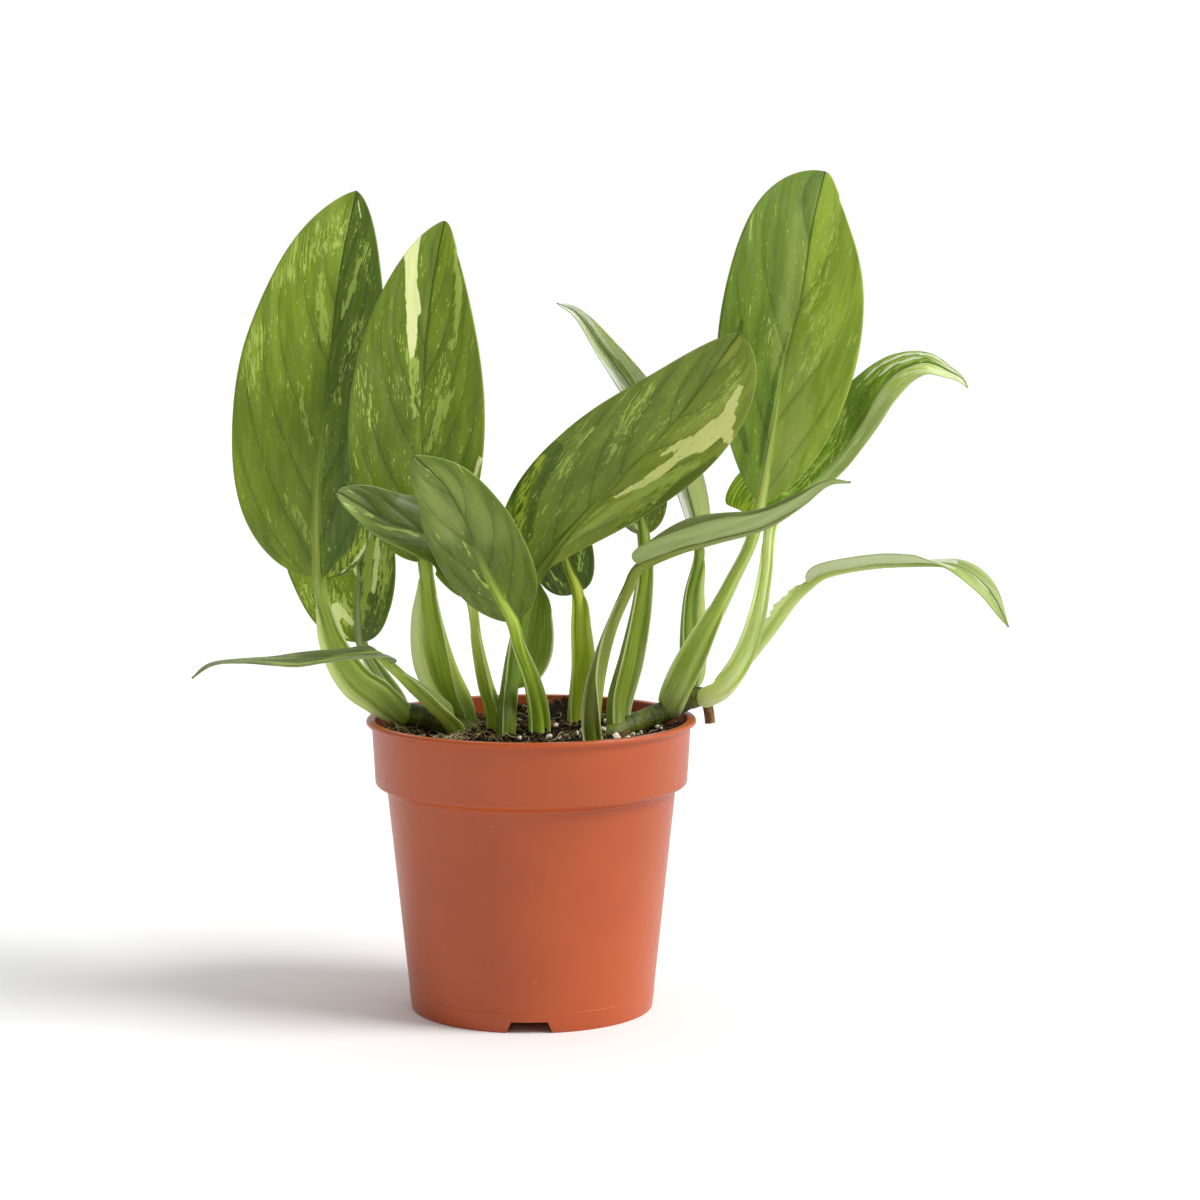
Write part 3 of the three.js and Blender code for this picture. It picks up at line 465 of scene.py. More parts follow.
# The colouring of the petioles: green, how pale the left and right wing and the foot are, and
# how thickly the sheath is speckled.
STALK_LOOK = {"green": (122, 156, 58), "left": 0.3, "right": 0.3, "foot": 0.15, "speckle": 0.25}
STALK_LOOKS = {
  "left_tall": {"green": (181, 198, 82), "left": 0.65, "right": 0.2, "speckle": 0.3},
  "left_inner": {"green": (167, 188, 61), "left": 1.0, "right": 0.15, "foot": 0.1},
  "mid_front": {"green": (199, 224, 85)},
  "mid_long": {"green": (120, 145, 6), "right": 0.15, "speckle": 0.6},
  "mid_back": {"green": (199, 210, 64), "right": 0.45, "speckle": 0.8},
  "right_arched": {"green": (154, 177, 67), "right": 0.85, "speckle": 0.5},
  "right_tall": {"green": (195, 211, 108), "left": 0.1, "foot": 0.35},
  "right_front": {"green": (143, 157, 38)},
  "right_curved": {"green": (236, 250, 181), "foot": 0.7, "left": 0.4},
  "right_low": {"green": (209, 224, 142), "left": 0.9, "right": 1.0, "foot": 0.3},
  "left_low": {"green": (182, 202, 88), "speckle": 0.4},
  "mid_small": {"green": (207, 218, 117)},
  "left_back": {"green": (166, 178, 126)},
  "right_back": {"green": (139, 161, 20)},
}

# A cut root that hangs over the rim below the right stem, and belongs to it.
ROOT_STUB = {"path": [[64, 11, 112], [65, 10, 107], [65.5, 10, 103]], "radius": 1.9}

# The sheet of a blade. Its rows and columns crowd together at the ends and beside the midrib.
ROWS_PER_MM = 1.3
SPARE_COLUMNS = 6
COLUMN_CROWDING = 1.3
END_CROWDING = 0.6
BLADE_THICKNESS = 0.8
MARGIN_THICKNESS = 0.35
THINNING = 1.5
END_HALF_WIDTH = 0.35
TIP_BLEND = 6
TIP_FADE = (8, 14)
CREASE_WIDTH = 1.4

# The side veins, the swellings between them and the groove over the midrib. A vein's slant and turn
# are shares of the blade's length, and its pitch is one too, but no less than so many mm.
VEIN_SLANT = 0.36
VEIN_TURN = 0.22
VEIN_PITCH = 0.175
VEIN_PITCH_MM = 19
VEIN_SQUARE = 0.4
VEIN_DEPTH = 0.2
VEIN_HALF_WIDTH = 0.9
SWELLING = 0.1
GROOVE_DEPTH = 0.3
GROOVE_WIDTH = 0.7

# The marks and colours that all blades share. OUTSIDE is the least a mark's field falls to, in mm.
MARK_KINDS = ("cream", "pale", "bright", "flecked", "dark", "painted_sheen")
OUTSIDE = -9.0
CREAM = (250, 254, 188)
MARGIN_PALENESS = 0.35
GLOW_LIMIT = (0.82, 0.9, 0.8)

# Petioles and their wings. TEARS are the rates of the two waves that make a torn edge ragged.
STATION_STEP = 1.0
BACK_ANGLES = (20, -200)
BACK_POINTS = 26
STALK_FRONT = [(-0.62, 0.66), (-0.34, 0.84), (0, 0.86), (0.34, 0.84), (0.62, 0.66)]
TAPER_END = 0.8
FOOT_TURNS = (80, 62, 44, 28, 14)
WING_RISE = 38
SMALL_WING_RISE = 26
WING_CURL = 26
WING_POINTS = 8
WING_THICKNESS = 0.9
WING_EDGE_THICKNESS = 0.4
WING_LEAN = 0.8
TEARS = (31, 67)

# The rib under the blade, as which each petiole runs on. Its places are shares of the midrib.
RIB_STEP = 1.5
RIB_END = 0.96
RIB_RADIUS = 0.42
RIB_TAPER = 0.55
RIB_THINNING = 0.75
RIB_THINS_FROM = 0.6
RIB_SINK = 0.62
RIB_SINK_END = 0.5
RIB_FADE_START = 0.05
RIB_FADE_END = 0.55

# Stems and the root
STEM_SIDES = 40
STEM_STEP = 0.5
RING_SWELL = 0.035
RING_WIDTH = 0.01
JOINT_SWELL = 0.012
STEM_END_GIRTH = 0.45
STEM_END_SHARE = 0.1
ROOT_SIDES = 24

# The pot: outer radii and heights from the base up.
POT_HEIGHT = 106.5
RIM_RADIUS = 60
LIP_FOOT = 104.5
COLLAR_TOP_RADIUS = 58
COLLAR_FOOT_RADIUS = 56.8
COLLAR_FOOT = 83
BODY_TOP_RADIUS = 52.6
BODY_TOP = 81
BASE_RADIUS = 44.2
WALL = 1.3
FLOOR_HEIGHT = 4.5
FLOOR_TOP = FLOOR_HEIGHT + WALL
STAND_RADIUS = 16
STAND_SLOPE = 4
POT_SEGMENTS = 256
MOULD_LINE = 7
MOULD_STEP = 0.12
NOTCH_COUNT = 3
NOTCH_HEIGHT = 4.1
NOTCH_TOP_WIDTH = 13
NOTCH_FOOT_WIDTH = 17.7
NOTCH_DEPTH = 8
DRAIN_COUNT = 8
DRAIN_RADIUS = 3
DRAIN_CIRCLE_RADIUS = 32

# The soil: its surface, its heaps as (x, y, height, spread), and the small bits on it.
SOIL_LEVEL = 100.5
SOIL_HEAPS = [(14, 44, 6, 11), (54, -2, 3.5, 9), (-54, -3, 3.5, 8)]
SOIL_GAP = 0.3
SOIL_STEP = 0.9
SOIL_SEGMENTS = 320
SOIL_SPREAD = 54.5
CRUMB_COUNT = 2400
CHIP_COUNT = 60
GRAIN_COUNT = 110
GRAIN_SPOT = {"x": 32, "y": -14, "spread": 18}
FIBRE_COUNT = 240
LONG_ROOT_COUNT = 26
FIBRE_SPOT = {"x": -38, "y": -12, "spread": 12}
FIBRE_BENDS = 6

# Light: the key comes from the right and a little in front.
KEY_STRENGTH = 2.7
KEY_SPREAD = 30
KEY_HEIGHT = 42
KEY_FRONT = 17
WHITE = (1, 1, 1)
SURROUND = 0.62
SURROUND_LEAN = (0.17, 0.32, 0)
FLOOR_REACH = 4000


# Curves and frames

def cubic(before, start, end, after):
    """The four factors of one span of a centripetal curve."""
    gaps = [np.linalg.norm(b - a) ** 0.5 for a, b in ((before, start), (start, end), (end, after))]
    leave = (start - before) / gaps[0] - (end - before) / (gaps[0] + gaps[1])
    arrive = (after - end) / gaps[2] - (after - start) / (gaps[1] + gaps[2])
    leave = leave * gaps[1] + (end - start)
    arrive = arrive * gaps[1] + (end - start)
    turn = 3 * (end - start) - 2 * leave - arrive
    return [start, leave, turn, leave + arrive - 2 * (end - start)]


class Curve:
    """A smooth curve through points, on which a place is a share of its length."""

    DIVISIONS = 600

    def __init__(self, points):
        points = np.array(points, float)
        chain = np.vstack([2 * points[0] - points[1], points, 2 * points[-1] - points[-2]])
        spans = range(len(points) - 1)
        self.factors = np.array([cubic(*chain[i : i + 4]) for i in spans])
        self.marks = np.linspace(0, 1, self.DIVISIONS * len(spans) + 1)
        steps = np.linalg.norm(np.diff(self.at(self.marks)[0], axis=0), axis=1)
        self.lengths = np.concatenate([[0], np.cumsum(steps)])
        self.length = self.lengths[-1]

    def at(self, marks):
        """Points and tangents where the spans are counted evenly from 0 to 1."""
        place = np.clip(marks, 0, 1) * len(self.factors)
        index = np.minimum(place.astype(int), len(self.factors) - 1)
        factor = self.factors[index]
        part = (place - index)[:, None]
        points = factor[:, 0] + part * (factor[:, 1] + part * (factor[:, 2] + part * factor[:, 3]))
        ways = factor[:, 1] + part * (2 * factor[:, 2] + 3 * part * factor[:, 3])
        return points, ways / np.linalg.norm(ways, axis=1, keepdims=True)

    def length_to(self, mark):
        return np.interp(mark, self.marks, self.lengths)

    def frames(self, shares, facings):
        """Point, tangent, normal and side at shares of the length. facings has one per share."""
        points, tangents = self.at(np.interp(shares * self.length, self.lengths, self.marks))
        normals = facings - np.sum(facings * tangents, axis=1, keepdims=True) * tangents
        normals /= np.linalg.norm(normals, axis=1, keepdims=True)
        return points, tangents, normals, np.cross(tangents, normals)


def turned(facings, t):
    """The facing at each t, from facings spread evenly along the way."""
    facings = np.array(facings, float)
    places = np.linspace(0, 1, len(facings))
    return np.stack([np.interp(t, places, facings[:, axis]) for axis in range(3)], axis=1)


def smoothstep(value, low, high):
    part = np.clip((value - low) / (high - low), 0, 1)
    return part * part * (3 - 2 * part)


# Meshes

def mesh_object(name, corners, faces, smooth=True):
    """An object from corners in millimetres and faces of corner numbers."""
    mesh = bpy.data.meshes.new(name)
    mesh.from_pydata((np.asarray(corners) * MM).tolist(), [], [list(map(int, f)) for f in faces])
    mesh.validate()
    mesh.update()
    if smooth:
        mesh.shade_smooth()
    piece = bpy.data.objects.new(name, mesh)
    bpy.context.scene.collection.objects.link(piece)
    return piece


def paint(piece, name, vectors):
    """A named set of three numbers per corner, for the materials to read."""
    attribute = piece.data.attributes.new(name, "FLOAT_VECTOR", "POINT")
    attribute.data.foreach_set("vector", np.asarray(vectors, float).ravel())


def spread(values, shape):
    """Three values for each place of a grid. Each may be the same all over."""
    return np.stack([np.broadcast_to(value, shape) for value in values], axis=2)


def grid_faces(rows, columns, wrap=False):
    """Quads between rows of corners, each row with as many columns."""
    row = np.arange(rows - 1)[:, None] * columns
    left = np.arange(columns if wrap else columns - 1)[None, :]
    right = (left + 1) % columns
    quads = [row + left, row + right, row + columns + right, row + columns + left]
    return np.stack([q.ravel() for q in quads], axis=1)


def place_piece(piece, material, slot, *nodes):
    piece.data.materials.clear()
    piece.data.materials.append(material)
    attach(piece, "root")
    if nodes:
        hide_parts(*nodes)


# Materials

def linear(colour):
    """A screen colour of 0 to 255 as light."""
    parts = np.array(colour, float) / 255
    return np.where(parts > 0.04045, ((parts + 0.055) / 1.055) ** 2.4, parts / 12.92)


class Nodes:
    """The nodes of a material or of the surround. A value may be a number or a node's output."""

    def __init__(self, owner):
        self.owner = owner
        self.owner.use_nodes = True
        self.tree = owner.node_tree
        self.tree.nodes.clear()
        self.painted = {}

    def add(self, kind, inputs, **settings):
        node = self.tree.nodes.new("ShaderNode" + kind)
        for key, value in settings.items():
            setattr(node, key, value)
        for key, value in inputs.items():
            self.feed(node.inputs[key], value)
        return node

    def feed(self, socket, value):
        if isinstance(value, bpy.types.NodeSocket):
            self.tree.links.new(value, socket)
        elif socket.type == "RGBA":
            socket.default_value = (*value, 1)
        else:
            socket.default_value = value

    def attribute(self, name):
        return self.add("Attribute", {}, attribute_name=name).outputs["Vector"]

    def read(self, name):
        """The three values painted on a piece under a name."""
        if name not in self.painted:
            self.painted[name] = self.add("SeparateXYZ", {0: self.attribute(name)}).outputs
        return self.painted[name]

    def vector(self, x, y, z):
        return self.add("CombineXYZ", {0: x, 1: y, 2: z}).outputs[0]

    def math(self, operation, *values):
        return self.add("Math", dict(enumerate(values)), operation=operation).outputs[0]

    def plus(self, first, second):
        return self.math("ADD", first, second)

    def minus(self, first, second):
        return self.math("SUBTRACT", first, second)

    def times(self, first, second):
        return self.math("MULTIPLY", first, second)

    def size(self, value):
        return self.math("ABSOLUTE", value)

    def noise(self, place, detail, roughness):
        inputs = {"Vector": place, "Scale": 1, "Detail": detail, "Roughness": roughness}
        return self.add("TexNoise", inputs).outputs[0]

    def grain(self, size, detail=3, roughness=0.6):
        """Noise that is fixed to the piece, in lumps of about so many metres."""
        place = self.add("TexCoord", {}).outputs["Object"]
        inputs = {0: place, 1: (1 / size,) * 3}
        place = self.add("VectorMath", inputs, operation="MULTIPLY").outputs[0]
        return self.noise(place, detail, roughness)

    def between(self, value, low, high, start=0.0, end=1.0):
        """Rises smoothly from start to end as the value goes from low to high."""
        inputs = {"Value": value, "From Min": low, "From Max": high, "To Min": start, "To Max": end}
        return self.add("MapRange", inputs, interpolation_type="SMOOTHSTEP").outputs[0]

    def frayed(self, field, noise_value, reach):
        """How far inside a mark a place lies, with the mark's edge broken up by noise."""
        return self.plus(field, self.times(self.minus(noise_value, 0.5), reach))

    def blend(self, part, first, second, kind="MIX"):
        inputs = {0: part, 6: first, 7: second}
        return self.add("Mix", inputs, data_type="RGBA", blend_type=kind).outputs[2]

    def tinted(self, colour, *tint):
        return self.blend(1.0, colour, tint, "MULTIPLY")

    def toward(self, colour, other, value, low, high, most=1.0):
        """Turns a colour into another as the value goes from low to high. Tuples are screen colours."""
        colours = [linear(c) if isinstance(c, tuple) else c for c in (colour, other)]
        return self.blend(self.between(value, low, high, 0.0, most), *colours)

    def bump(self, height, distance, strength):
        inputs = {"Height": height, "Distance": distance, "Strength": strength}
        return self.add("Bump", inputs).outputs[0]

    def surface(self, colour, roughness, normal=None, specular=0.5, coat=0.0, coat_roughness=0.3):
        inputs = {"Base Color": colour, "Roughness": roughness, "Specular IOR Level": specular}
        inputs.update({"Coat Weight": coat, "Coat Roughness": coat_roughness})
        if normal:
            inputs["Normal"] = normal
        return self.add("BsdfPrincipled", inputs).outputs[0]

    def see_through(self, surface, colour, share):
        """Lets light from behind through, as thin tissue does, and never adds to it."""
        colour = self.blend(1.0, colour, GLOW_LIMIT, "DARKEN")
        glow = self.add("BsdfTranslucent", {"Color": colour}).outputs[0]
        return self.add("MixShader", {0: share, 1: surface, 2: glow}).outputs[0]

    def finish(self, surface):
        self.add("OutputMaterial", {"Surface": surface})
        return self.owner


def skin(name):
    return Nodes(bpy.data.materials.new(name))


def blade_streaks(n):
    """Noises that run along the side veins, from broad clouds down to fibres."""
    flow, reach, seed = n.read("leaf_flow")

    def streaks(width, length, detail=3, roughness=0.6):
        place = n.vector(n.times(flow, 1 / width), n.times(reach, 1 / length), seed)
        return n.noise(place, detail, roughness)

    return {
        "cloud": streaks(9, 20),
        "mottle": streaks(5, 6, 2),
        "blotch": streaks(3.0, 11),
        "fleck": streaks(1.5, 4.4, 2, 0.55),
        "curd": streaks(1.0, 5),
        "speck": streaks(0.7, 1.9, 1, 0.5),
        "fibre": streaks(0.3, 9, 1),
    }


def blade_green(n, streaks):
    """The green under the marks, with its painted sheen and its dark patches, which are partly painted
    shade.
    """
    _, dark, painted_sheen = n.read("leaf_more")
    cloud, blotch = streaks["cloud"], streaks["blotch"]
    green = n.attribute("leaf_green")
    dull, fresh = n.tinted(green, 0.78, 0.82, 0.6), n.tinted(green, 1.2, 1.16, 1.5)
    green = n.toward(dull, fresh, cloud, 0.38, 0.62)
    green = n.toward(green, (140, 156, 92), streaks["mottle"], 0.45, 0.7, 0.22)
    green = n.toward(green, (150, 168, 86), blotch, 0.35, 0.7, 0.18)
    green = n.toward(green, (160, 178, 100), streaks["fibre"], 0.3, 0.7, 0.08)
    # Painted sheen: a greyish green where a blade catches the light at a slant.
    green = n.toward(green, (164, 178, 94), n.frayed(painted_sheen, cloud, 8.0), -5.0, 4.0, 0.55)
    # The dark marks: painted shade where a half turns from the light, and partly darker green.
    deep = n.tinted(green, 0.52, 0.62, 0.3)
    return n.toward(green, deep, n.frayed(dark, blotch, 5.0), -0.2, 0.5)


def blade_veins(n, green):
    """A soft painted shade over each sunken side vein and a fine dark line along it."""
    _, edge, vein_gap = n.read("leaf_mm")
    vein, veined, _ = n.read("leaf_vein")
    near = n.size(n.minus(n.math("FRACT", n.plus(vein, 0.5)), 0.5))
    near = n.times(near, vein_gap)
    inside = n.times(n.between(edge, 0.6, 5.0), veined)
    # Painted shade beside each sunken side vein; the fine line is the vein's own darker green.
    shade = n.times(n.between(near, 2.2, 0.2, 0.0, 0.24), inside)
    line = n.times(n.between(near, 0.42, 0.12, 0.0, 0.42), inside)
    green = n.blend(shade, green, n.tinted(green, 0.55, 0.62, 0.4))
    return n.blend(line, green, n.tinted(green, 0.4, 0.46, 0.3))


def blade_marks(n, green, streaks):
    """Flecks where the blade is densely flecked, and then the pale, bright and cream strokes."""
    cream, pale, density = n.read("leaf_marks")
    bright = n.read("leaf_more")[0]
    cloud, blotch, fleck, speck = (streaks[key] for key in ("cloud", "blotch", "fleck", "speck"))
    rise = n.times(n.minus(cloud, 0.5), 0.3)
    threshold = n.minus(n.minus(0.75, n.times(density, 0.19)), rise)
    yellow = n.toward((172, 196, 78), (198, 214, 104), cloud, 0.4, 0.6)
    colour = green
    for noise_value, more, soft, light, most in (
        (blotch, 0.03, 0.03, (164, 186, 84), 0.5),
        (fleck, 0.0, 0.02, yellow, 0.85),
        (speck, 0.02, 0.02, (196, 214, 112), 0.75),
    ):
        over = n.minus(noise_value, n.plus(threshold, more))
        colour = n.toward(colour, light, over, 0.0, soft, most)
    colour = n.toward(colour, (182, 202, 92), n.frayed(pale, fleck, 9.0), -0.2, 0.4, 0.85)
    strong = n.times(n.between(bright, -1.5, 0.5), n.between(fleck, 0.46, 0.52))
    colour = n.blend(strong, colour, linear((186, 202, 60)))
    creamy = n.attribute("leaf_cream")
    creamy = n.toward(creamy, n.tinted(creamy, 0.9, 0.93, 0.75), streaks["curd"], 0.45, 0.7)
    creamy = n.toward(creamy, (160, 182, 80), speck, 0.7, 0.73)
    return n.toward(colour, creamy, n.frayed(cream, blotch, 6.0), -0.1, 0.2, 0.98)


def blade_edges(n, colour):
    """The midrib with a dark line of painted shade in its groove, the pale margin, the brown tip and
    the paler underside.
    """
    distance, edge, _ = n.read("leaf_mm")
    rib = n.read("leaf_vein")[2]
    along, _, upper = n.read("leaf_place")
    # Painted shade: a dark line in the midrib's groove, beyond the pale rib.
    centre = n.between(n.size(distance), 0.5, 0.2, 0.0, 0.5)
    colour = n.blend(n.times(centre, n.minus(1, rib)), colour, linear((70, 88, 14)))
    colour = n.blend(n.times(rib, 0.85), colour, n.attribute("leaf_rib"))
    margin = n.times(n.between(edge, 0.36, 0.18), n.size(upper))
    colour = n.blend(margin, colour, linear((190, 204, 116)))
    colour = n.toward(colour, (86, 78, 40), along, 0.992, 0.999, 0.8)
    return n.toward(colour, n.blend(0.55, colour, linear((164, 184, 118))), upper, 0.05, -0.05)


def blade_material():
    n = skin("variegated_blade")
    streaks = blade_streaks(n)
    green = blade_veins(n, blade_green(n, streaks))
    colour = blade_edges(n, blade_marks(n, green, streaks))
    height = n.plus(n.times(streaks["fibre"], 0.3), n.times(streaks["speck"], 0.4))
    roughness = n.between(streaks["cloud"], 0.3, 0.7, 0.42, 0.52)
    normal = n.bump(height, 0.00012, 0.3)
    surface = n.surface(colour, roughness, normal, specular=0.4, coat=0.05, coat_roughness=0.35)
    return n.finish(n.see_through(surface, n.tinted(colour, 1.25, 1.4, 0.35), 0.24))


def stalk_material():
    n = skin("petiole_skin")
    wing, groove, seed = n.read("stalk_place")
    down, around, _ = n.read("stalk_mm")
    pale, speckle, _ = n.read("stalk_tone")
    green = n.attribute("stalk_green")
    deep = n.tinted(green, 0.5, 0.62, 0.3)

    def streaks(across, length, detail=2):
        place = n.vector(n.times(around, 1 / across), n.times(down, 1 / length), n.times(seed, 60))
        return n.noise(place, detail, 0.6)

    broad = streaks(3, 30)
    thin = streaks(0.6, 14)
    line = streaks(0.35, 34, 1)
    spots = streaks(0.6, 1.6)
    dull, fresh = n.tinted(green, 0.8, 0.88, 0.5), n.tinted(green, 1.14, 1.1, 1.2)
    colour = n.toward(dull, fresh, broad, 0.38, 0.6)
    colour = n.toward(colour, (196, 210, 118), thin, 0.5, 0.66, 0.3)
    colour = n.toward(colour, deep, line, 0.55, 0.68, 0.28)
    colour = n.toward(colour, (206, 218, 140), line, 0.42, 0.3, 0.3)
    side = n.size(wing)
    # Painted shade in the creases where the wings rise from the petiole.
    crease = n.times(n.between(side, 0.0, 0.14), n.between(side, 0.6, 0.2, 0.0, 0.4))
    colour = n.blend(crease, colour, deep)
    streaky = n.times(n.minus(thin, 0.5), n.between(pale, 0.0, 0.3, 0.0, 0.8))
    colour = n.toward(colour, (248, 250, 214), n.plus(pale, streaky), 0.05, 0.75, 0.95)
    limit = n.minus(0.76, n.times(speckle, 0.16))
    colour = n.toward(colour, (206, 220, 146), n.minus(spots, limit), 0.0, 0.03, 0.8)
    # Painted shade: a dark line down the middle of the front, where the sheath's groove would lie.
    colour = n.blend(n.times(groove, 0.6), colour, n.tinted(green, 0.5, 0.6, 0.3))
    colour = n.toward(colour, (240, 244, 204), side, 0.9, 0.97, 0.95)
    roughness = n.between(broad, 0.3, 0.7, 0.38, 0.5)
    surface = n.surface(colour, roughness, n.bump(n.plus(thin, line), 0.0004, 0.4), coat=0.15)
    glow = n.blend(pale, n.tinted(colour, 1.25, 1.35, 0.4), n.tinted(colour, 1.1, 1.12, 0.95))
    return n.finish(n.see_through(surface, glow, n.between(pale, 0.0, 0.8, 0.25, 0.7)))


def stem_material():
    n = skin("stem_skin")
    fine = n.grain(0.0012)
    colour = n.toward((60, 68, 12), (104, 116, 26), n.grain(0.006), 0.35, 0.65)
    colour = n.toward(colour, (136, 146, 88), fine, 0.62, 0.68, 0.6)
    colour = n.toward(colour, (54, 44, 22), fine, 0.42, 0.34, 0.7)
    roughness = n.between(fine, 0.3, 0.7, 0.45, 0.65)
    return n.finish(n.surface(colour, roughness, n.bump(fine, 0.0005, 0.5), specular=0.4))


def root_material():
    n = skin("root_bark")
    fine = n.grain(0.0005)
    colour = n.toward((86, 58, 30), (150, 118, 74), n.grain(0.002), 0.35, 0.65)
    colour = n.toward(colour, (60, 40, 22), fine, 0.6, 0.7, 0.6)
    return n.finish(n.surface(colour, 0.85, n.bump(fine, 0.0004, 0.7), specular=0.25))


def pot_material():
    n = skin("moulded_terracotta_plastic")
    fine = n.grain(0.0007, 2, 0.5)
    dust = n.grain(0.004, 4, 0.7)
    colour = n.toward((173, 71, 13), (181, 77, 16), n.grain(0.05, 2, 0.5), 0.35, 0.65)
    colour = n.toward(colour, (214, 160, 130), dust, 0.62, 0.75, 0.12)
    colour = n.toward(colour, (120, 56, 36), fine, 0.74, 0.78, 0.35)
    wear = n.plus(n.times(dust, 0.6), n.times(fine, 0.4))
    roughness = n.between(wear, 0.35, 0.65, 0.36, 0.46)
    normal = n.bump(fine, 0.00008, 0.4)
    return n.finish(n.surface(colour, roughness, normal, coat=0.2, coat_roughness=0.45))


def soil_material():
    n = skin("potting_mix")
    broad = n.grain(0.004, 4, 0.65)
    fine = n.grain(0.0009)
    colour = n.toward((20, 14, 9), (50, 38, 25), broad, 0.4, 0.62)
    colour = n.toward(colour, (92, 74, 46), fine, 0.6, 0.72, 0.6)
    normal = n.bump(n.plus(broad, n.times(fine, 0.6)), 0.0012, 0.9)
    return n.finish(n.surface(colour, 0.95, normal, specular=0.15))


def bit_material(name, dark, light, roughness):
    """For many small bits that differ in shade."""
    n = skin(name)
    grain = n.grain(0.0006)
    shade = n.plus(n.times(n.read("bit_seed")[0], 0.7), n.times(grain, 0.3))
    colour = n.toward(dark, light, shade, 0.1, 0.9)
    return n.finish(n.surface(colour, roughness, n.bump(grain, 0.0003, 0.6), specular=0.2))


def floor_material():
    n = skin("studio_floor")
    colour = n.blend(n.grain(0.4, 2, 0.5), (0.93,) * 3, (0.95,) * 3)
    return n.finish(n.surface(colour, 0.9, specular=0.0))


# Leaf blades

def blade_rows(length):
    """Shares of the midrib, closer together towards the base and the tip."""
    even = np.linspace(0, 1, int(length * ROWS_PER_MM) + 1)
    return (1 - END_CROWDING) * even + END_CROWDING * (0.5 - 0.5 * np.cos(math.pi * even))


def blade_columns(width):
    """Places across a half, closer together towards the midrib."""
    return np.linspace(0, 1, int(width) + SPARE_COLUMNS + 1) ** COLUMN_CROWDING


def outline(t, base, tip):
    widest = base / (base + tip)
    inside = np.clip(t, 0, 1)
    return (inside / widest) ** base * ((1 - inside) / (1 - widest)) ** tip


def half_widths(leaf, side, t, length):
    """How wide a half is at each share of the midrib, with a round tip where the leaf has one."""
    width = np.maximum(side["width"] * outline(t, side["base"], side["tip"]), END_HALF_WIDTH)
    from_tip = (1 - t) * length
    round_tip = np.sqrt(2 * leaf.get("tip_radius", 0) * from_tip)
    round_tip = round_tip * (1 - smoothstep(from_tip, *TIP_FADE))
    return (width**TIP_BLEND + round_tip**TIP_BLEND) ** (1 / TIP_BLEND)


def half_section(distance, width, fold, curl):
    """How far across and up a half's section lies, and how steep it is there."""
    start = np.radians(fold)
    turn = math.radians(curl) / width
    angle = start + turn * distance
    across = (np.sin(angle) - np.sin(start)) / turn
    rise = (np.cos(start) - np.cos(angle)) / turn
    return across, rise, angle


def vein_flow(t, across):
    """A place's line along the blade, the same all along one side vein."""
    over = np.abs(across)
    return t - VEIN_SLANT * over - VEIN_TURN * over**3


def vein_phase(leaf, t, across):
    """Counts the side veins, which aren't quite evenly spaced."""
    count = vein_flow(t, across) / leaf["pitch"] + leaf["seed"] + 0.3 * np.sign(across)
    return count + 0.12 * np.sin(2.3 * count + 9 * leaf["seed"])


def vein_relief(leaf, t, across, length, fullness):
    """How far the sheet sinks at its side veins and swells between them."""
    phase = vein_phase(leaf, t, across)
    near = (phase - np.round(phase)) * leaf["pitch"] * length * VEIN_SQUARE
    valley = np.exp(-((near / VEIN_HALF_WIDTH) ** 2))
    swell = 0.5 + 0.5 * np.cos(2 * math.pi * (phase - 0.5))
    fade = smoothstep(1 - np.abs(across), 0.03, 0.3) * fullness
    return (SWELLING * swell - VEIN_DEPTH * valley) * fade


def blade_column(leaf, frames, t, v, length):
    """Upper face, lower face and half width along one line beside the midrib, v of the way out."""
    points, _, normals, sides = frames
    side, way = (leaf["right"], 1) if v > 0 else (leaf["left"], -1)
    width = half_widths(leaf, side, t, length)
    fullness = width / side["width"]
    fold = side["fold"][0] + (side["fold"][1] - side["fold"][0]) * t
    over, rise, angle = half_section(abs(v) * width, side["width"], fold, side["curl"])
    height, count, start = leaf["wave"]
    turn = count * t + start + v / 3
    rise = rise + height * v * v * np.sin(2 * math.pi * turn) * fullness
    lean = way * angle * np.clip(abs(v) * width / CREASE_WIDTH, 0, 1)
    square = normals * np.cos(lean)[:, None] - sides * np.sin(lean)[:, None]
    relief = vein_relief(leaf, t, v, length, fullness)
    middle = points + sides * (way * over)[:, None] + normals * rise[:, None]
    middle = middle + square * relief[:, None]
    thickness = BLADE_THICKNESS + (MARGIN_THICKNESS - BLADE_THICKNESS) * abs(v) ** THINNING
    groove = GROOVE_DEPTH * math.exp(-((abs(v) * leaf["right"]["width"] / GROOVE_WIDTH) ** 2))
    return middle + square * (thickness / 2 - groove), middle - square * (thickness / 2), width


def sheet_faces(rows, columns):
    """The two faces of a sheet and the narrow faces round its rim."""
    count = rows * columns
    upper = grid_faces(rows, columns)
    lower = upper[:, ::-1] + count
    rim = list(range(columns))
    rim += [r * columns + columns - 1 for r in range(1, rows)]
    rim += [(rows - 1) * columns + c for c in range(columns - 2, -1, -1)]
    rim += [r * columns for r in range(rows - 2, 0, -1)]
    rim = np.array(rim)
    after = np.roll(rim, -1)
    edge = np.stack([rim, rim + count, after + count, after], axis=1)
    return np.concatenate([upper, lower, edge])


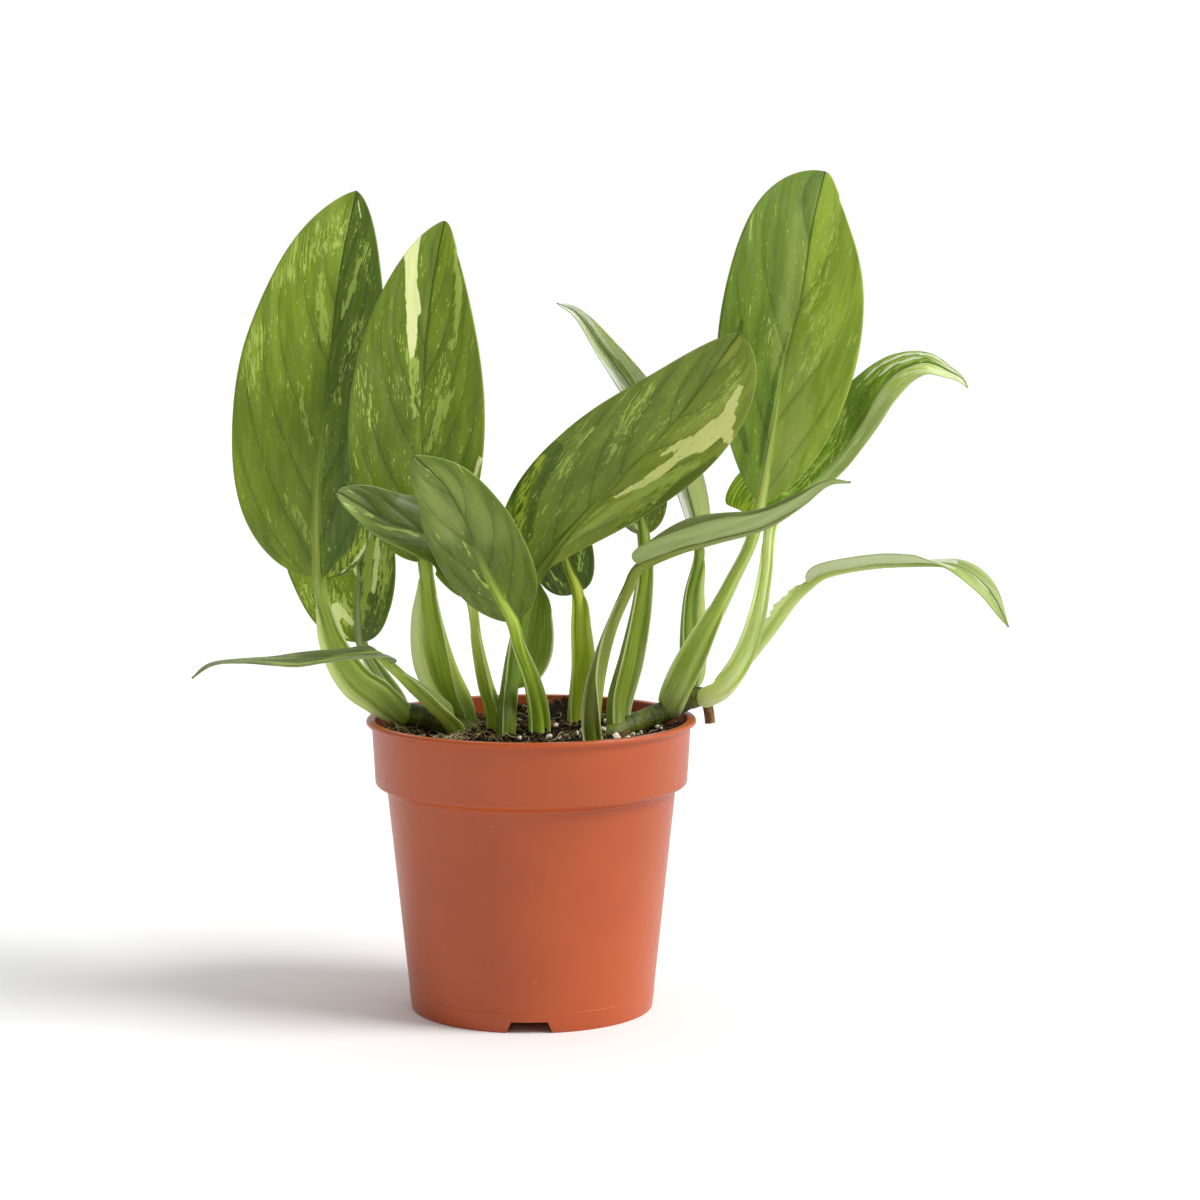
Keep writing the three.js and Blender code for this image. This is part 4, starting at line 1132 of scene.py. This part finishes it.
def build_blade(name, leaf):
    curve = Curve(leaf["midrib"])
    length = curve.length
    t = blade_rows(length)
    leaf["pitch"] = max(leaf["look"].get("pitch", VEIN_PITCH), VEIN_PITCH_MM / length)
    left = -blade_columns(leaf["left"]["width"])[::-1]
    right = blade_columns(leaf["right"]["width"])[1:]
    across = np.concatenate([left, right])
    frames = curve.frames(t, turned(leaf["facing"], t))
    columns = [blade_column(leaf, frames, t, v, length) for v in across]
    top, under, width = (np.stack(values, axis=1) for values in zip(*columns))
    corners = np.concatenate([top.reshape(-1, 3), under.reshape(-1, 3)])
    piece = mesh_object("leaf_blade_" + name, corners, sheet_faces(len(t), len(across)))
    paint_blade(piece, leaf, t, across, width, length)
    place_piece(piece, looks["blade"], "blade", "blade_" + name)


def stroke_field(strokes, along, over, width, length):
    """How far inside a set of strokes each place lies, in millimetres, negative outside."""
    field = np.full(along.shape, OUTSIDE)
    for stroke in strokes:
        stroke = np.array(stroke, float)
        for start, end in zip(stroke[:-1], stroke[1:]):
            step = np.array([(end[0] - start[0]) * width, (end[1] - start[1]) * length])
            gap_over = (over - start[0]) * width
            gap_along = (along - start[1]) * length
            part = np.clip((gap_over * step[0] + gap_along * step[1]) / (step @ step + 1e-9), 0, 1)
            away = np.hypot(gap_over - part * step[0], gap_along - part * step[1])
            field = np.maximum(field, start[2] + (end[2] - start[2]) * part - away)
    return field


def blade_facts(leaf, along, over, width, length):
    """What the blade's material reads at each place of its grid."""
    look = leaf["look"]
    distance = over * width
    edge = (1 - np.abs(over)) * width
    mean_width = (leaf["left"]["width"] + leaf["right"]["width"]) / 2
    steep = math.hypot(1, (VEIN_SLANT + VEIN_TURN) * length / mean_width)
    away = np.abs(distance) * (VEIN_SLANT + VEIN_TURN * over**2) * length / mean_width
    fields = [stroke_field(look.get(kind, []), along, over, mean_width, length) for kind in MARK_KINDS]
    cream, pale, bright, flecked, dark, painted_sheen = fields
    fullness = edge / np.maximum(1 - np.abs(over), 0.02) / mean_width
    density = (look["flecks"] + 0.6 * smoothstep(flecked, -3, 2)) * smoothstep(fullness, 0, 0.5)
    band = rib_size(leaf["girth"][1], along)
    rib = 1 - smoothstep(np.abs(distance), 0.4 * band, 1.5 * band)
    rib = rib * (1 - smoothstep(along, RIB_FADE_START, RIB_FADE_END))
    right = smoothstep(over, -0.04, 0.04)[:, :, None]
    green = (1 - right) * linear(look["green"]) + right * linear(look["right_green"])
    return {
        "leaf_place": [along, 0, MARGIN_PALENESS],
        "leaf_mm": [distance, edge, leaf["pitch"] * length / steep],
        "leaf_flow": [(along * length - away) / steep, distance * steep, 100 * leaf["seed"]],
        "leaf_vein": [vein_phase(leaf, along, over), look.get("vein", 1), rib],
        "leaf_marks": [cream, pale, density],
        "leaf_more": [bright, dark, painted_sheen],
        "leaf_green": np.moveaxis(green, 2, 0),
        "leaf_cream": linear(look.get("cream_colour", CREAM)),
        "leaf_rib": linear(leaf["stalk"]["green"]),
    }


def paint_blade(piece, leaf, t, across, width, length):
    """Paints both faces alike. The last value of leaf_place is below zero on the lower one."""
    along, over = np.meshgrid(t, across, indexing="ij")
    for name, values in blade_facts(leaf, along, over, width, length).items():
        face = spread(values, along.shape).reshape(-1, 3)
        lower = face * (1, 1, -1) if name == "leaf_place" else face
        paint(piece, name, np.concatenate([face, lower]))


# Petioles, each running on as the blade's midrib

def rib_size(neck_girth, t):
    """The radius of the rib under a blade."""
    part = np.clip(t, 0, RIB_END) / RIB_END
    return neck_girth + (RIB_RADIUS - neck_girth) * part**RIB_TAPER


def rib_part(leaf):
    """Shares, centres, normals, sides and radii of the rib, which sinks into the blade."""
    curve = Curve(leaf["midrib"])
    t = np.linspace(0, RIB_END, int(curve.length * RIB_END / RIB_STEP) + 1)[1:]
    points, _, normals, sides = curve.frames(t, turned(leaf["facing"], t))
    thinning = RIB_THINNING * smoothstep(t, RIB_THINS_FROM, RIB_END)
    radius = rib_size(leaf["girth"][1], t) * (1 - thinning)
    drop = (RIB_SINK * radius + 0.1) * smoothstep(t, 0, RIB_SINK_END)
    return t, points - normals * drop[:, None], normals, sides, radius


def domed_foot(tangent, centre, normal, side, *sizes):
    """Puts the stations of a round end before the foot."""
    turns = np.radians(FOOT_TURNS)
    drop = np.sin(turns)[:, None] * sizes[0][0] * tangent
    centre = np.concatenate([centre[0] - drop, centre])
    ways = [np.concatenate([np.repeat(way[:1], len(turns), axis=0), way]) for way in (normal, side)]
    sizes = [np.concatenate([size[0] * np.cos(turns), size]) for size in sizes]
    return [centre, *ways, *sizes]


def soften(values, middle, reach=4, passes=6):
    """Evens out a kink near one station."""
    values = values.copy()
    for _ in range(passes):
        span = slice(max(1, middle - reach), middle + reach)
        before = slice(span.start - 1, span.stop - 1)
        after = slice(span.start + 1, span.stop + 1)
        values[span] = (values[before] + 2 * values[span] + values[after]) / 4
    return values


def wing_swell(sheath, u):
    """How far the wings stand up at each station, as a share of their height."""
    along = np.clip((u - sheath["start"]) / (sheath["end"] - sheath["start"]), 0, 1)
    swell = np.clip(np.sin(math.pi * along**WING_LEAN), 0, 1) ** sheath["fullness"]
    ragged = 0.5 + 0.5 * np.sin(TEARS[0] * u) * np.sin(TEARS[1] * u + 1)
    return swell * (1 - sheath["torn"] * ragged)


def climbed(steps):
    """Sums of steps along each row, from zero."""
    return np.concatenate([np.zeros_like(steps[:, :1]), np.cumsum(steps, axis=1)[:, 1:]], axis=1)


def wing_sides(way, radius, height):
    """Outer and inner side of a sheath wing, from its root to its edge, at every station."""
    share = np.linspace(0, 1, WING_POINTS)[None, :]
    curl = np.radians(WING_CURL) * np.clip(height / 4, 0, 1)[:, None]
    rise = WING_RISE + SMALL_WING_RISE * smoothstep(height, 5, 1)
    angle = np.radians(rise)[:, None] + curl * (share - 0.5)
    step = (height / (WING_POINTS - 1))[:, None]
    root = math.radians(BACK_ANGLES[0])
    run = radius[:, None] * math.cos(root) + climbed(np.cos(angle) * step)
    climb = radius[:, None] * math.sin(root) + climbed(np.sin(angle) * step)
    outer = np.stack([run, climb], axis=2)
    thin = np.clip(radius / 2, 0, 1)[:, None]
    thickness = thin * (WING_THICKNESS + (WING_EDGE_THICKNESS - WING_THICKNESS) * share)
    inner = outer + np.stack([-np.sin(angle) * thickness, np.cos(angle) * thickness], axis=2)
    tip = (outer[:, -1:] + inner[:, -1:]) / 2
    lean = np.stack([np.cos(angle[:, -1:]), np.sin(angle[:, -1:])], axis=2)
    tip = tip + lean * (thickness[:, -1:] * 0.45)[:, :, None]
    return np.concatenate([outer[:, 1:], tip, inner[:, ::-1]], axis=1) * (way, 1)


def petiole_sections(radius, left, right):
    """One loop of (across, up) points per station."""
    angles = np.radians(np.linspace(*BACK_ANGLES, BACK_POINTS))
    back = radius[:, None, None] * np.stack([np.cos(angles), np.sin(angles)], axis=1)[None]
    front = radius[:, None, None] * np.array(STALK_FRONT)[None]
    left_wing = wing_sides(-1, radius, left)
    right_wing = wing_sides(1, radius, right)[:, ::-1]
    return np.concatenate([back, left_wing, front, right_wing], axis=1)


def build_petiole(name, leaf):
    points = leaf["petiole"] + leaf["midrib"][:2]
    curve = Curve(points)
    spans = len(points) - 1
    reach = curve.length_to((spans - 1) / spans) / curve.length
    count = int(curve.length * reach / STATION_STEP)
    u = np.linspace(0, 1, count + 1)
    facings = turned([leaf["petiole_facing"], leaf["facing"][0]], u)
    stalk, tangents, normal, side = curve.frames(u * reach, facings)
    foot_girth, neck_girth = leaf["girth"]
    radius = foot_girth + (neck_girth - foot_girth) * smoothstep(u, 0, TAPER_END)
    swell = wing_swell(leaf["wings"], u)

    t, *rib_ways, rib_radius = rib_part(leaf)
    pairs = zip((stalk, normal, side), rib_ways)
    ways = [soften(np.concatenate(pair), count) for pair in pairs]
    heights = [leaf["wings"][key] * swell for key in ("left", "right")]
    sizes = [np.concatenate([radius, rib_radius])]
    sizes += [np.concatenate([height, np.zeros(len(t))]) for height in heights]
    centre, normal, side, *sizes = domed_foot(tangents[0], *ways, *sizes)

    across, up = np.moveaxis(petiole_sections(*sizes), 2, 0)[:, :, :, None]
    loops = centre[:, None] + side[:, None] * across + normal[:, None] * up
    piece = mesh_object("leaf_stalk_" + name, *capped_loft(loops))
    paint_petiole(piece, leaf, loops, np.concatenate([np.zeros(len(FOOT_TURNS)), u, 1 + t]))
    place_piece(piece, looks["stalk"], "petiole", "petiole_" + name)


def capped_loft(loops):
    """A closed surface through loops of points, each end closed by a low dome."""
    rows, columns = loops.shape[:2]
    corners = loops.reshape(-1, 3)
    faces = grid_faces(rows, columns, wrap=True)[:, ::-1].tolist()
    for end, row in enumerate((0, rows - 1)):
        middle = len(corners) + end
        for i in range(columns):
            a, b = row * columns + i, row * columns + (i + 1) % columns
            faces.append([middle, b, a] if end else [middle, a, b])
    return np.concatenate([corners, [loops[0].mean(axis=0), loops[-1].mean(axis=0)]]), faces


def sheath_places(columns):
    """Round a section: how far out on a wing, below zero on the left, and how deep in the groove, where
    painted shade darkens the front.
    """
    share = np.linspace(0, 1, WING_POINTS)
    loop = np.concatenate([share[1:], [1], share[::-1]])
    right_start = BACK_POINTS + len(loop) + len(STALK_FRONT)
    wing = np.zeros(columns)
    wing[BACK_POINTS : BACK_POINTS + len(loop)] = -loop
    wing[right_start : right_start + len(loop)] = loop[::-1]
    groove = np.zeros(columns)
    groove[right_start - 4 : right_start - 1] = (0.2, 0.7, 0.2)
    return wing, groove


def petiole_facts(leaf, loops, along):
    """What the petiole's material reads at each place of its grid."""
    look = leaf["stalk"]
    wing, groove = sheath_places(loops.shape[1])
    around = np.linalg.norm(np.diff(loops, axis=1, prepend=loops[:, :1]), axis=2).cumsum(axis=1)
    down = np.linalg.norm(np.diff(loops.mean(axis=1), axis=0), axis=1).cumsum()
    neck = smoothstep(along, 0.8, 1.05)
    wing_pale = np.where(wing < 0, look["left"], look["right"]) * np.abs(wing) ** 0.7
    pale = np.clip(wing_pale * (1 - neck) + look["foot"] * smoothstep(along, 0.3, 0.0), 0, 1)
    speckle = look["speckle"] * (0.4 + 0.6 * np.abs(wing)) * (1 - neck)
    blade_green = (linear(leaf["look"]["green"]) + linear(leaf["look"]["right_green"])) / 2
    change = smoothstep(along, 1 + RIB_FADE_START, 1 + RIB_FADE_END)
    greens = zip(linear(look["green"]), blade_green)
    return {
        "stalk_place": [wing * (1 - neck), groove * (1 - smoothstep(along, 0.8, 1)), leaf["seed"]],
        "stalk_mm": [np.concatenate([[0], down])[:, None], around[np.argmax(around[:, -1])], 0],
        "stalk_tone": [pale, speckle, 0],
        "stalk_green": [(1 - change) * own + change * other for own, other in greens],
    }


def paint_petiole(piece, leaf, loops, along):
    for name, values in petiole_facts(leaf, loops, along[:, None]).items():
        values = spread(values, loops.shape[:2])
        ends = [values[0].mean(axis=0), values[-1].mean(axis=0)]
        paint(piece, name, np.concatenate([values.reshape(-1, 3), ends]))


# Stems and the root

def ring_loops(path, facing, sides, stations, radius_at):
    u = np.linspace(0, 1, stations)
    facings = np.repeat([np.array(facing, float)], stations, axis=0)
    points, _, normals, across = Curve(path).frames(u, facings)
    angles = -np.linspace(0, 2 * math.pi, sides, endpoint=False)
    ring = np.stack([np.cos(angles), np.sin(angles)], axis=1)[None]
    radius = radius_at(u)[:, None, None]
    loops = points[:, None] + radius * ring[:, :, :1] * across[:, None]
    return loops + radius * ring[:, :, 1:] * normals[:, None]


def build_stem(name, stem):
    rings = stem["rings"]

    def radius_at(u):
        ring = np.abs((u * rings + 0.5) % 1 - 0.5) / rings
        swell = RING_SWELL * np.exp(-((ring / RING_WIDTH) ** 2))
        swell = swell + JOINT_SWELL * np.cos(2 * math.pi * rings * u)
        end = STEM_END_GIRTH**2 + (1 - STEM_END_GIRTH**2) * np.minimum(u, 1 - u) / STEM_END_SHARE
        return stem["radius"] * (1 + swell) * np.sqrt(np.minimum(1, end))

    stations = int(Curve(stem["path"]).length / STEM_STEP)
    loops = ring_loops(stem["path"], (0, 0, 1), STEM_SIDES, stations, radius_at)
    piece = mesh_object("creeping_" + name, *capped_loft(loops))
    place_piece(piece, looks["stem"], "stem", name)


def build_root():
    def radius_at(u):
        return np.full_like(u, ROOT_STUB["radius"])

    loops = ring_loops(ROOT_STUB["path"], (0, 1, 0), ROOT_SIDES, ROOT_SIDES, radius_at)
    piece = mesh_object("cut_root", *capped_loft(loops))
    place_piece(piece, looks["root"], "stem", "stem_right")


# The pot

def body_radius(height):
    """The outside of the tapered body."""
    return BASE_RADIUS + (BODY_TOP_RADIUS - BASE_RADIUS) / BODY_TOP * height


def inner_radius(height):
    """The inside of the wall, in the body and in the wider collar."""
    body = body_radius(height) - WALL
    step = np.clip((height - BODY_TOP) / (COLLAR_FOOT - BODY_TOP), 0, 1)
    rise = max(0, (height - COLLAR_FOOT) / (POT_HEIGHT - COLLAR_FOOT))
    collar = COLLAR_FOOT_RADIUS + (COLLAR_TOP_RADIUS - COLLAR_FOOT_RADIUS) * rise - WALL
    return body + (collar - body) * step


def rounded(corners):
    """A profile whose corners (radius, height, rounding) are eased by that much."""
    points = []
    for index, (*corner, ease) in enumerate(corners):
        corner = np.array(corner, float)
        if not ease:
            points.append(corner)
            continue
        before = np.array(corners[index - 1][:2], float) - corner
        after = np.array(corners[index + 1][:2], float) - corner
        enter = corner + before / np.linalg.norm(before) * ease
        leave = corner + after / np.linalg.norm(after) * ease
        for part in np.linspace(0, 1, 6):
            points.append((1 - part) ** 2 * enter + 2 * part * (1 - part) * corner + part**2 * leave)
    return np.array(points)


def revolved(profile, segments):
    """Corners and faces of a profile turned round the axis. Its two ends lie on the axis."""
    angles = np.linspace(0, 2 * math.pi, segments, endpoint=False)
    radii, heights = profile[1:-1, :1], profile[1:-1, 1:]
    columns = [radii * np.cos(angles), radii * np.sin(angles), np.repeat(heights, segments, axis=1)]
    corners = np.stack(columns, axis=2).reshape(-1, 3)
    faces = grid_faces(len(radii), segments, wrap=True).tolist()
    first, last = len(corners), len(corners) + 1
    top = (len(radii) - 1) * segments
    for i in range(segments):
        j = (i + 1) % segments
        faces.append([first, j, i])
        faces.append([last, top + i, top + j])
    return np.concatenate([corners, [[0, 0, profile[0][1]], [0, 0, profile[-1][1]]]]), faces


def cut(piece, cutters):
    """Cuts solids out of a piece for good."""
    for cutter in cutters:
        modifier = piece.modifiers.new("cut", "BOOLEAN")
        modifier.operation = "DIFFERENCE"
        modifier.solver = "EXACT"
        modifier.object = cutter
    bpy.context.view_layer.update()
    evaluated = piece.evaluated_get(bpy.context.evaluated_depsgraph_get())
    mesh = bpy.data.meshes.new_from_object(evaluated)
    piece.modifiers.clear()
    piece.data = mesh
    for cutter in cutters:
        bpy.data.objects.remove(cutter)


def prism(name, section, depth):
    """A flat outline in x and z, drawn out along y."""
    count = len(section)
    corners = [(x, y, z) for y in (-depth, depth) for x, z in section]
    faces = [list(range(count)), [count + i for i in reversed(range(count))]]
    for i in range(count):
        j = (i + 1) % count
        faces.append([j, i, count + i, count + j])
    return mesh_object(name, corners, faces, smooth=False)


def pot_profile():
    """Radius, height and rounding of each corner, from the base's middle round to the floor's."""
    mould_radius = body_radius(MOULD_LINE)
    return [
        (0, 0, 0),
        (STAND_RADIUS, 0, 0.8),
        (STAND_RADIUS + STAND_SLOPE, FLOOR_HEIGHT, 0.8),
        (inner_radius(FLOOR_HEIGHT), FLOOR_HEIGHT, 0.5),
        (BASE_RADIUS - WALL, 0, 0.3),
        (BASE_RADIUS, 0, 0.4),
        (mould_radius + MOULD_STEP, MOULD_LINE, 0.1),
        (mould_radius, MOULD_LINE + 0.25, 0.1),
        (BODY_TOP_RADIUS, BODY_TOP, 0.9),
        (COLLAR_FOOT_RADIUS, COLLAR_FOOT, 1.0),
        (COLLAR_TOP_RADIUS, LIP_FOOT, 0.7),
        (RIM_RADIUS, LIP_FOOT + 0.4, 0.6),
        (RIM_RADIUS, POT_HEIGHT, 0.8),
        (inner_radius(POT_HEIGHT), POT_HEIGHT, 0.7),
        (inner_radius(COLLAR_FOOT), COLLAR_FOOT, 1.0),
        (inner_radius(BODY_TOP), BODY_TOP, 0.8),
        (inner_radius(FLOOR_TOP), FLOOR_TOP, 0.8),
        (STAND_RADIUS + STAND_SLOPE - WALL / 2, FLOOR_TOP, 0.6),
        (STAND_RADIUS - WALL / 2, WALL, 0.6),
        (0, WALL, 0),
    ]


def notch_cutter(index):
    foot, top = NOTCH_FOOT_WIDTH / 2, NOTCH_TOP_WIDTH / 2
    section = [(-foot, -WALL), (foot, -WALL), (top, NOTCH_HEIGHT), (-top, NOTCH_HEIGHT)]
    notch = prism("notch", section, NOTCH_DEPTH)
    turn = 2 * math.pi * index / NOTCH_COUNT
    notch.location = Vector((math.sin(turn), -math.cos(turn), 0)) * BASE_RADIUS * MM
    notch.rotation_euler.z = turn
    return notch


def drain_cutter(index):
    turn = 2 * math.pi * (index + 0.5) / DRAIN_COUNT
    low, high = -2 * WALL, 2 * WALL
    side = [[0, low], [DRAIN_RADIUS, low], [DRAIN_RADIUS, high], [0, high]]
    drain = mesh_object("drain", *revolved(np.array(side), 32))
    drain.location = Vector((math.cos(turn), math.sin(turn), 0)) * DRAIN_CIRCLE_RADIUS * MM
    drain.location.z = (FLOOR_HEIGHT + WALL / 2) * MM
    return drain


def build_pot():
    shell = mesh_object("pot_shell", *revolved(rounded(pot_profile()), POT_SEGMENTS))
    cutters = [notch_cutter(index) for index in range(NOTCH_COUNT)]
    cutters += [drain_cutter(index) for index in range(DRAIN_COUNT)]
    cut(shell, cutters)
    shell.data.set_sharp_from_angle(angle=math.radians(40))
    place_piece(shell, looks["pot"], "pot", "pot")


# The soil

def soil_height(x, y):
    lumps = 1.1 * np.sin(x / 7 + 1) * np.sin(y / 6)
    clods = 0.66 * np.sin(x / 3.7 - y / 5)
    heaps = 0
    for middle_x, middle_y, height, reach in SOIL_HEAPS:
        away = np.hypot(x - middle_x, y - middle_y)
        heaps = heaps + height * np.exp(-((away / reach) ** 2))
    return SOIL_LEVEL + lumps + clods + heaps


def crumbs(x, y):
    """Small lumps of the soil's surface."""
    place = Vector((x / 2.6, y / 2.6, 1.7))
    fine = Vector((x / 0.9, y / 0.9, 5.3))
    return 0.8 * noise.noise(place) + 0.45 * noise.noise(fine)


def build_soil():
    """A body that fills the pot, a small gap away from its wall and floor."""
    floor_top = FLOOR_TOP + SOIL_GAP
    sides = [
        [0, WALL + SOIL_GAP],
        [STAND_RADIUS - WALL / 2 - SOIL_GAP, WALL + SOIL_GAP],
        [STAND_RADIUS + STAND_SLOPE - WALL / 2 - SOIL_GAP, floor_top],
        [inner_radius(floor_top) - SOIL_GAP, floor_top],
        [inner_radius(BODY_TOP) - SOIL_GAP, BODY_TOP],
        [inner_radius(COLLAR_FOOT) - SOIL_GAP, COLLAR_FOOT + SOIL_GAP],
    ]
    rim = inner_radius(SOIL_LEVEL) - SOIL_GAP / 2
    rings = int(rim / SOIL_STEP)
    top = [[rim * ring / rings, SOIL_LEVEL] for ring in range(rings, -1, -1)]
    corners, faces = revolved(np.array(sides + top, float), SOIL_SEGMENTS)
    on_top = np.abs(corners[:, 2] - SOIL_LEVEL) < 1e-6
    corners[on_top, 2] = soil_height(corners[on_top, 0], corners[on_top, 1])
    for index in np.nonzero(on_top)[0]:
        corners[index, 2] += crumbs(corners[index, 0], corners[index, 1])
    place_piece(mesh_object("soil_bed", corners, faces), looks["soil"], "soil", "soil")


def lump_shape():
    """Corners and faces of a small round lump, each corner at a distance of one."""
    ball = bmesh.new()
    bmesh.ops.create_icosphere(ball, subdivisions=1, radius=1)
    corners = np.array([corner.co[:] for corner in ball.verts])
    faces = [[corner.index for corner in face.verts] for face in ball.faces]
    ball.free()
    return corners, faces


def on_soil(chance, spot=None):
    """A place on the soil, near a spot or anywhere."""
    while True:
        if spot:
            x, y = (chance.gauss(spot[key], spot["spread"]) for key in ("x", "y"))
        else:
            x, y = (chance.uniform(-SOIL_SPREAD, SOIL_SPREAD) for _ in range(2))
        if math.hypot(x, y) < SOIL_SPREAD - 1:
            return np.array([x, y, soil_height(x, y) + crumbs(x, y)])


def small_bits(name, material, chance, shapes, smooth):
    """Many small shapes, each (corners, faces), as one piece. Each gets a shade of its own."""
    corners, faces, seeds, base = [], [], [], 0
    for shape, shape_faces in shapes:
        corners.append(shape)
        faces += [[base + corner for corner in face] for face in shape_faces]
        seeds.append(np.full((len(shape), 3), chance.random()))
        base += len(shape)
    piece = mesh_object(name, np.concatenate(corners), faces, smooth)
    paint(piece, "bit_seed", np.concatenate(seeds))
    place_piece(piece, material, "soil")


def scattered_lumps(chance, count, sizes, spot, flatness, raised):
    """Rough lumps lying on the soil."""
    ball, faces = lump_shape()
    for _ in range(count):
        size = sizes[0] + (sizes[1] - sizes[0]) * chance.random() ** 2
        stretch = np.array([1, chance.uniform(0.5, 0.9), flatness * chance.uniform(0.6, 1)]) * size
        rough = np.array([chance.uniform(0.7, 1.25) for _ in ball])[:, None]
        turn = Euler([chance.gauss(0, 0.5), chance.gauss(0, 0.5), chance.uniform(0, 6.3)]).to_matrix()
        lump = (ball * rough * stretch) @ np.array(turn).T
        yield lump + on_soil(chance, spot) + [0, 0, size * flatness * raised], faces


def strand(chance, start, length, radius):
    """A thin root that wanders over the soil."""
    heading = chance.uniform(0, 2 * math.pi)
    points = [start + (0, 0, chance.uniform(-0.5, 0.3))]
    for bend in range(1, FIBRE_BENDS):
        heading += chance.gauss(0, 0.7)
        step = np.array([math.cos(heading), math.sin(heading), 0])
        place = points[-1] + step * length / FIBRE_BENDS
        place[:2] *= min(1, (SOIL_SPREAD - 0.5) / math.hypot(place[0], place[1]))
        arch = 0.4 + (1 + length / 12) * math.sin(math.pi * bend / FIBRE_BENDS) * chance.random()
        place[2] = soil_height(place[0], place[1]) + crumbs(place[0], place[1]) + arch
        points.append(place)

    def radius_at(u):
        return radius * (1 - 0.6 * u)

    return capped_loft(ring_loops(points, (0, 0, 1), 4, 16, radius_at))


def strands(chance):
    """Short fibres all over, half of them near the left stem, and longer roots there."""
    for index in range(FIBRE_COUNT + LONG_ROOT_COUNT):
        start = on_soil(chance, FIBRE_SPOT if index % 2 else None)
        length = chance.uniform(4, 18)
        radius = chance.uniform(0.08, 0.22)
        if index >= FIBRE_COUNT:
            start = on_soil(chance, FIBRE_SPOT)
            length, radius = chance.uniform(16, 36), chance.uniform(0.12, 0.26)
        yield strand(chance, start, length, radius)


def build_soil_bits():
    """Crumbs, bark and perlite, each with its count, sizes, spot, flatness and how high it lies."""
    chance = random.Random(11)
    for name, look, *kind in (
        ("soil_crumbs", "crumb", CRUMB_COUNT, (0.3, 1.5), None, 1.0, 0.6),
        ("bark_chips", "bark", CHIP_COUNT, (1.0, 3.0), None, 0.3, 1.8),
        ("perlite_grains", "grain", GRAIN_COUNT, (0.3, 1.6), GRAIN_SPOT, 0.9, 1.5),
    ):
        small_bits(name, looks[look], chance, scattered_lumps(chance, *kind), smooth=False)
    small_bits("soil_fibres", looks["fibre"], chance, strands(chance), smooth=True)


looks = {
    "crumb": bit_material("soil_crumb", (26, 19, 12), (94, 74, 46), 0.95),
    "bark": bit_material("bark_chip", (50, 34, 20), (126, 92, 56), 0.85),
    "grain": bit_material("perlite_grain", (226, 216, 188), (252, 246, 228), 0.8),
    "fibre": bit_material("root_fibre", (104, 80, 46), (232, 214, 166), 0.7),
    "blade": blade_material(),
    "stalk": stalk_material(),
    "stem": stem_material(),
    "root": root_material(),
    "pot": pot_material(),
    "soil": soil_material(),
    "floor": floor_material(),
}
build_pot()
build_soil()
build_soil_bits()
for number, (leaf_name, leaf) in enumerate(LEAVES.items()):
    leaf["seed"] = 0.37 * (number + 1) % 1
    leaf["look"] = COLOURING[leaf_name]
    leaf["stalk"] = {**STALK_LOOK, **STALK_LOOKS[leaf_name]}
    build_blade(leaf_name, leaf)
    build_petiole(leaf_name, leaf)
for stem_name, stem in STEMS.items():
    build_stem(stem_name, stem)
build_root()


# Camera, floor and light

camera = bpy.data.objects.new("camera", bpy.data.cameras.new("camera"))
camera.location = (0.025, -1.153, 0.283)
camera.rotation_euler = (math.radians(90 - 6.6), 0, 0)
camera.data.lens = 96
camera.data.sensor_width = 36
camera.data.clip_start = 0.05
bpy.context.scene.collection.objects.link(camera)
bpy.context.scene.camera = camera

floor_corners = [(x * FLOOR_REACH, y * FLOOR_REACH, 0) for x, y in ((-1, -1), (1, -1), (1, 1), (-1, 1))]
floor = mesh_object("floor", floor_corners, [(0, 1, 2, 3)])
floor.data.materials.append(looks["floor"])


def studio_world():
    """A white surround, seen brighter than it lights."""
    n = Nodes(bpy.data.worlds.new("studio"))
    way = n.add("TexCoord", {}).outputs["Generated"]
    lean = n.add("VectorMath", {0: way, 1: SURROUND_LEAN}, operation="DOT_PRODUCT").outputs["Value"]
    lights = n.add("Background", {"Color": WHITE, "Strength": n.plus(lean, SURROUND)}).outputs[0]
    seen = n.add("Background", {"Color": WHITE}).outputs[0]
    ray = n.add("LightPath", {}).outputs["Is Camera Ray"]
    mixed = n.add("MixShader", {0: ray, 1: lights, 2: seen}).outputs[0]
    n.add("OutputWorld", {"Surface": mixed})
    return n.owner


sun = bpy.data.objects.new("key", bpy.data.lights.new("key", "SUN"))
sun.data.energy = KEY_STRENGTH
sun.data.angle = math.radians(KEY_SPREAD)
sun.rotation_euler = (0, math.radians(90 - KEY_HEIGHT), math.radians(-KEY_FRONT))
bpy.context.scene.collection.objects.link(sun)
bpy.context.scene.world = studio_world()
bpy.context.scene.view_settings.view_transform = "Standard"
